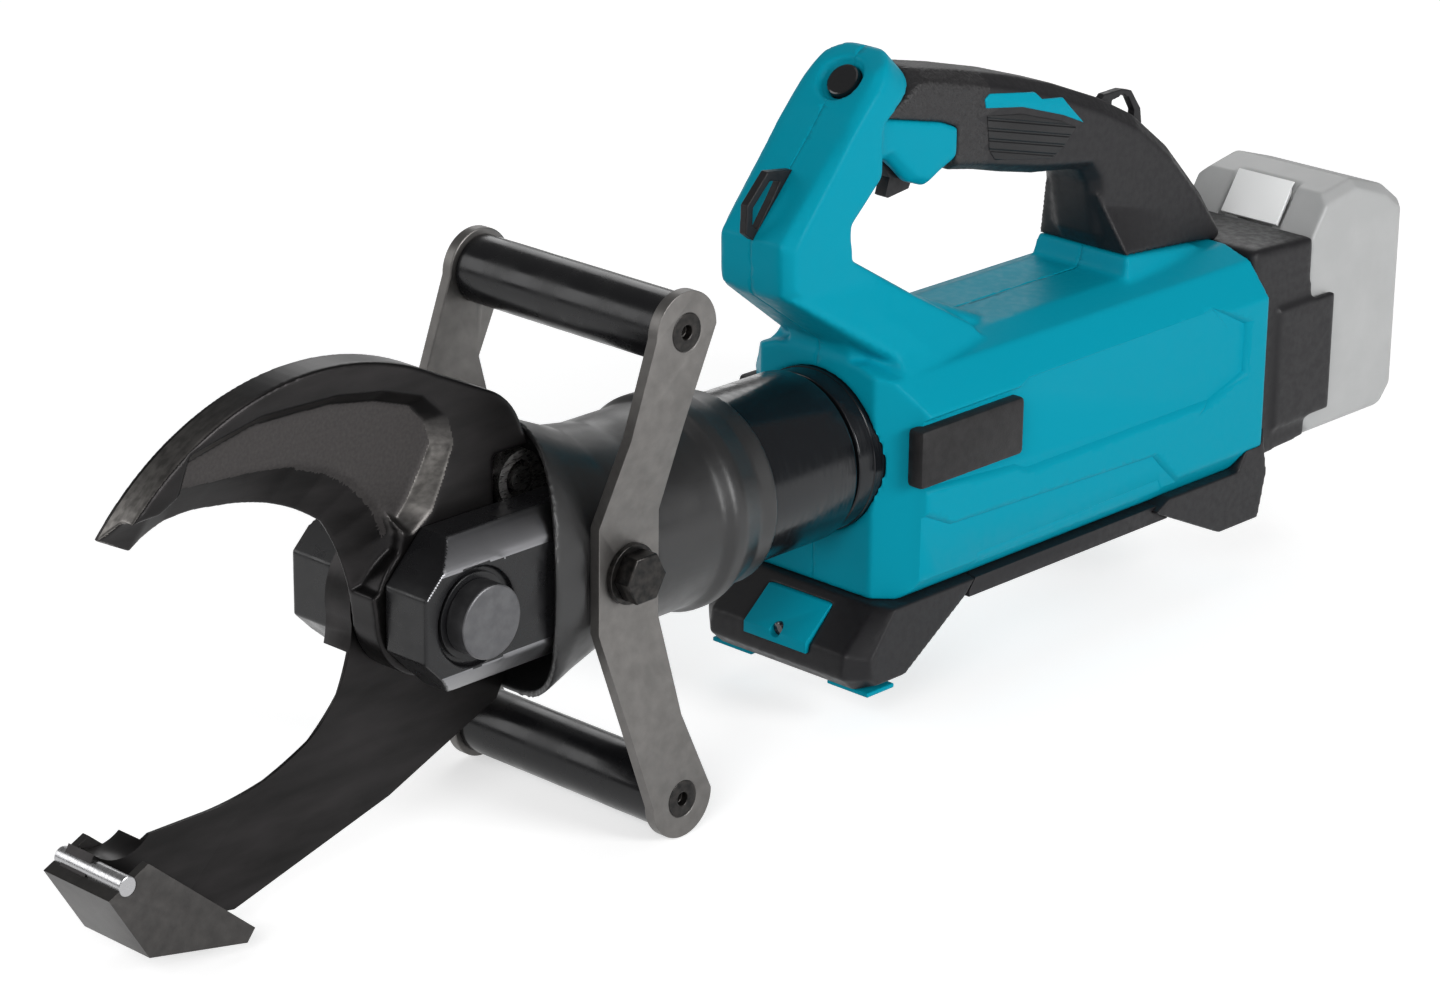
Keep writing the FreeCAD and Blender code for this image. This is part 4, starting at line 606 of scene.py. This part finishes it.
# ---- Cutting blades
# Two curved blades, drop-forged and hardened, left dark by the quench and ground by hand.
# Each is ground on one face up to its edge; the ground bands show fine lines and bare steel.
forged = finish("forged_steel", (0.060, 0.055, 0.052), 0.34, 0.9)
spread(forged, 90, (0.013, 0.0125, 0.0125), (0.027, 0.025, 0.0255), 0.3, 0.7, detail=8, stretch=(0.25, 1, 1))
grain(forged, 1100, 0.00008, 0.25, stretch=(0.15, 1, 1))
pitted = finish("pitted_pocket", (0.030, 0.027, 0.025), 0.50, 0.75)
spread(pitted, 700, (0.036, 0.033, 0.033), (0.050, 0.046, 0.045), 0.3, 0.7, detail=8)
grain(pitted, 900, 0.0001, 0.25)
ground_band = finish("ground_band", (0.075, 0.068, 0.062), 0.30, 0.95)
spread(ground_band, 900, (0.024, 0.023, 0.024), (0.042, 0.040, 0.041), 0.3, 0.7, stretch=(0.1, 1, 1))
grain(ground_band, 1500, 0.00005, 0.2, stretch=(0.1, 1, 1))
# The upper blade's rim is rubbed bright toward its tip, which is wear; the ridge beside the hub is lightened
# the same way, which is a painted highlight.
worn_and_highlit = finish("rim_wear_and_highlight", (0.02, 0.019, 0.019), 0.34, 0.9)
grain(worn_and_highlit, 1100, 0.00008, 0.25, stretch=(0.15, 1, 1))
spread(worn_and_highlit, 350, (0.10, 0.095, 0.09), (0.20, 0.19, 0.18), detail=7, stretch=(0.3, 1, 1))
tree = worn_and_highlit.node_tree
spot = tree.nodes.new("ShaderNodeTexCoord")
most = tree.nodes.new("ShaderNodeMath")
most.operation = "MAXIMUM"
# Two lightened spots: the first, at the tip, is wear; the second, on the hub ridge, is a painted highlight.
wear_and_highlight_spots = ((at(148, 6, 60), 0.080), (at(2, 9, 50), 0.026))
for n, (place, reach) in enumerate(wear_and_highlight_spots):
    away = tree.nodes.new("ShaderNodeVectorMath")
    away.operation = "DISTANCE"
    away.inputs[1].default_value = place
    near = tree.nodes.new("ShaderNodeMapRange")
    near.inputs["From Min"].default_value = reach
    near.inputs["From Max"].default_value = reach * 0.2
    tree.links.new(spot.outputs["Object"], away.inputs[0])
    tree.links.new(away.outputs["Value"], near.inputs["Value"])
    tree.links.new(near.outputs["Result"], most.inputs[n])
shade = tree.nodes.new("ShaderNodeMix")
shade.data_type = "RGBA"
dull, bright = shade.inputs[6], shade.inputs[7]
dull.default_value = (0.019, 0.018, 0.0185, 1)
shader = tree.nodes["Principled BSDF"]
tree.links.new(most.outputs[0], shade.inputs[0])
tree.links.new(shader.inputs["Base Color"].links[0].from_socket, bright)
tree.links.new(shade.outputs[2], shader.inputs["Base Color"])
upper = moulded(copied("upper_blade", "upper_cutter"), cell=0.65, passes=7, share=0.5,
                soft=lambda spot: spot.y > 0.003, soft_passes=12)
standing_for(upper, "upper_blade", "upper_jaw", "blade_steel", forged, pitted, ground_band, worn_and_highlit)
lower = rounded("lower_blade", "lower_cutter", "lower_jaw", "blade_steel", forged, pitted, ground_band,
                edge=0.8)
hub_ridge = at(24, 0, 0).x
for face in upper.data.polygons:
    lean, depth = face.normal.y, abs(face.center.y) * 1000
    if 7.6 < depth < 9.3 and lean > 0.93:
        face.material_index = 1
    # Bevel and hub faces take this finish: worn near the tip, with a painted highlight by the hub.
    elif face.center.y > 0.002 and (lean < 0.75 or face.center.x < hub_ridge and lean < 0.97):
        face.material_index = 3
for face in lower.data.polygons:
    if 0.3 < -face.normal.y < 0.97 and face.area > 0.00001:
        face.material_index = 2

# ---- Tip guard
# A folded and welded steel catch on the lower blade's tip, held by two pins.
# It takes the upper blade's point as the jaws close.
guard_steel = finish("guard_steel", (0.040, 0.038, 0.037), 0.42, 0.85)
spread(guard_steel, 160, (0.046, 0.044, 0.043), (0.062, 0.059, 0.057), detail=7)
grain(guard_steel, 1200, 0.00015, 0.35)
bare_steel = finish("bare_steel", (0.42, 0.42, 0.43), 0.28, 1.0)
spread(bare_steel, 180, (0.20, 0.20, 0.20), (0.36, 0.36, 0.36), socket="Roughness", stretch=(1, 6, 6))
rounded("tip_guard", "tip_catch", "lower_jaw", "blade_steel", guard_steel, edge=1.3)
rounded("guard_pins", "catch_pins", "lower_jaw", "pin_steel", bare_steel, edge=0.4)

# ---- Cross handles
# Two blacked steel side plates, bent out round the fork, carry a round bar at each end.
# The plates are a dull, faintly mottled grey, the bars a polished black.
side_plate = finish("side_plate_steel", (0.060, 0.056, 0.054), 0.42, 0.85)
spread(side_plate, 160, (0.13, 0.125, 0.12), (0.165, 0.158, 0.152), 0.3, 0.7, detail=8)
grain(side_plate, 1500, 0.0001, 0.25)
for side in ("left", "right"):
    rounded("loop_plate_" + side, "side_plate_" + side, "body", "loop_paint", side_plate, edge=0.7)
bar_black = finish("bar_black", (0.008, 0.008, 0.009), 0.22, 0.2, sheen=0.35)
spread(bar_black, 60, (0.17, 0.17, 0.17), (0.34, 0.34, 0.34), socket="Roughness")
for level in ("upper", "lower"):
    rounded("loop_grip_" + level, "cross_bar_" + level, "body", "grip_rubber", bar_black, edge=0.8)
fixings = finish("blacked_fixings", (0.016, 0.015, 0.015), 0.33, 0.8)
spread(fixings, 300, (0.010, 0.010, 0.010), (0.034, 0.031, 0.029), detail=6)
rounded("loop_washers", "fork_washers", "body", "zinc_steel", fixings, edge=0.3)
rounded("loop_bolts", "fork_bolts", "body", "zinc_steel", fixings, edge=0.7)
rounded("loop_screws", "bar_screws", "body", "zinc_steel", fixings, edge=0.5)

# ---- Battery bracket and battery
# The black bracket is fixed to the body's back; the battery hooks on it and lifts off upward.
# The pack's case is pale grey and slopes at the top of its front, where a white release
# button lies in a shallow well.
bracket = copied("battery_bracket", "pack_bracket")
carve(bracket, plate("bracket_top", [(-470, 41.5), (-535, 38), (-535, 70), (-470, 70)], -50, 50))
shoulder = at(0, 0, 16).z
moulded(bracket, cell=1.1, passes=14, share=0.5, soft=lambda spot: spot.z > shoulder, soft_passes=40)
standing_for(bracket, "battery_bracket", "body", "black_plastic", black)
pale = finish("pale_case", (0.40, 0.405, 0.405), 0.42)
spread(pale, 40, (0.385, 0.39, 0.39), (0.42, 0.425, 0.425))
grain(pale, 2200, 0.0001, 0.2)
case = copied("battery_case", "pack_case")
carve(case, plate("case_slope", [(-520, 25.5), (-527, 36), (-543, 59.5), (-543, 70), (-520, 70)], -50, 50),
      plate("button_well", [(-527, 26), (-530, 31), (-539, 44.5), (-539, 50), (-546.5, 56), (-540, 62),
                            (-520, 45)], -17.5, 17.5))
moulded(case, cell=0.9, passes=10, share=0.35)
standing_for(case, "battery_case", "battery", "battery_plastic", pale)
white = finish("white_button", (0.92, 0.93, 0.93), 0.38)
spread(white, 300, (0.32, 0.32, 0.32), (0.44, 0.44, 0.44), socket="Roughness")
stem = copied("battery_latch_button", "pack_button")
carve(stem, plate("stem_slope", [(-520, 30), (-529.5, 36.5), (-545, 58.5), (-545, 70), (-520, 70)], -20, 20))
moulded(stem, cell=0.4, passes=3, share=0.5)
standing_for(stem, "battery_latch_button", "battery_latch", "button_plastic", white)
button_side = [(-527.6, 38.6), (-540, 56.6), (-541.2, 56.2), (-539, 54), (-538.6, 50.3), (-529.7, 37.2)]
button_plate = plate("pack_button_plate", button_side, -16, 16, 0.4)
fixed(button_plate, white, "battery_latch")

# ---- Works inside
# Motor, gears, pump, links and cells keep their machined shapes behind the covers.
# Each gets the finish of its own material, for when the tool is opened.
machined = finish("machined_steel", (0.40, 0.39, 0.38), 0.30, 1.0)
spread(machined, 350, (0.24, 0.24, 0.24), (0.40, 0.40, 0.40), socket="Roughness", stretch=(1, 5, 5))
alloy = finish("pump_alloy", (0.48, 0.48, 0.49), 0.42, 1.0)
spread(alloy, 120, (0.42, 0.42, 0.43), (0.54, 0.54, 0.55))
winding = finish("copper_winding", (0.50, 0.22, 0.08), 0.38, 1.0)
spread(winding, 800, (0.34, 0.14, 0.05), (0.60, 0.28, 0.11), stretch=(0.3, 1, 1))
wrap = finish("cell_wrap", (0.05, 0.13, 0.30), 0.35)
spread(wrap, 60, (0.045, 0.12, 0.27), (0.055, 0.14, 0.33))
inner = finish("inner_nylon", (0.022, 0.022, 0.024), 0.55)
spread(inner, 200, (0.48, 0.48, 0.48), (0.62, 0.62, 0.62), socket="Roughness")
inside = {"copper_parts": winding, "cell_wrap": wrap, "dark_inside": inner, "pump_alloy": alloy}
slot_of = {entry["node"]: entry["material_slot"] for entry in frame["record"]["subparts"]}
for node, carried in frame["nodes"].items():
    carried.data.materials.clear()
    carried.data.materials.append(inside.get(slot_of[node], machined))
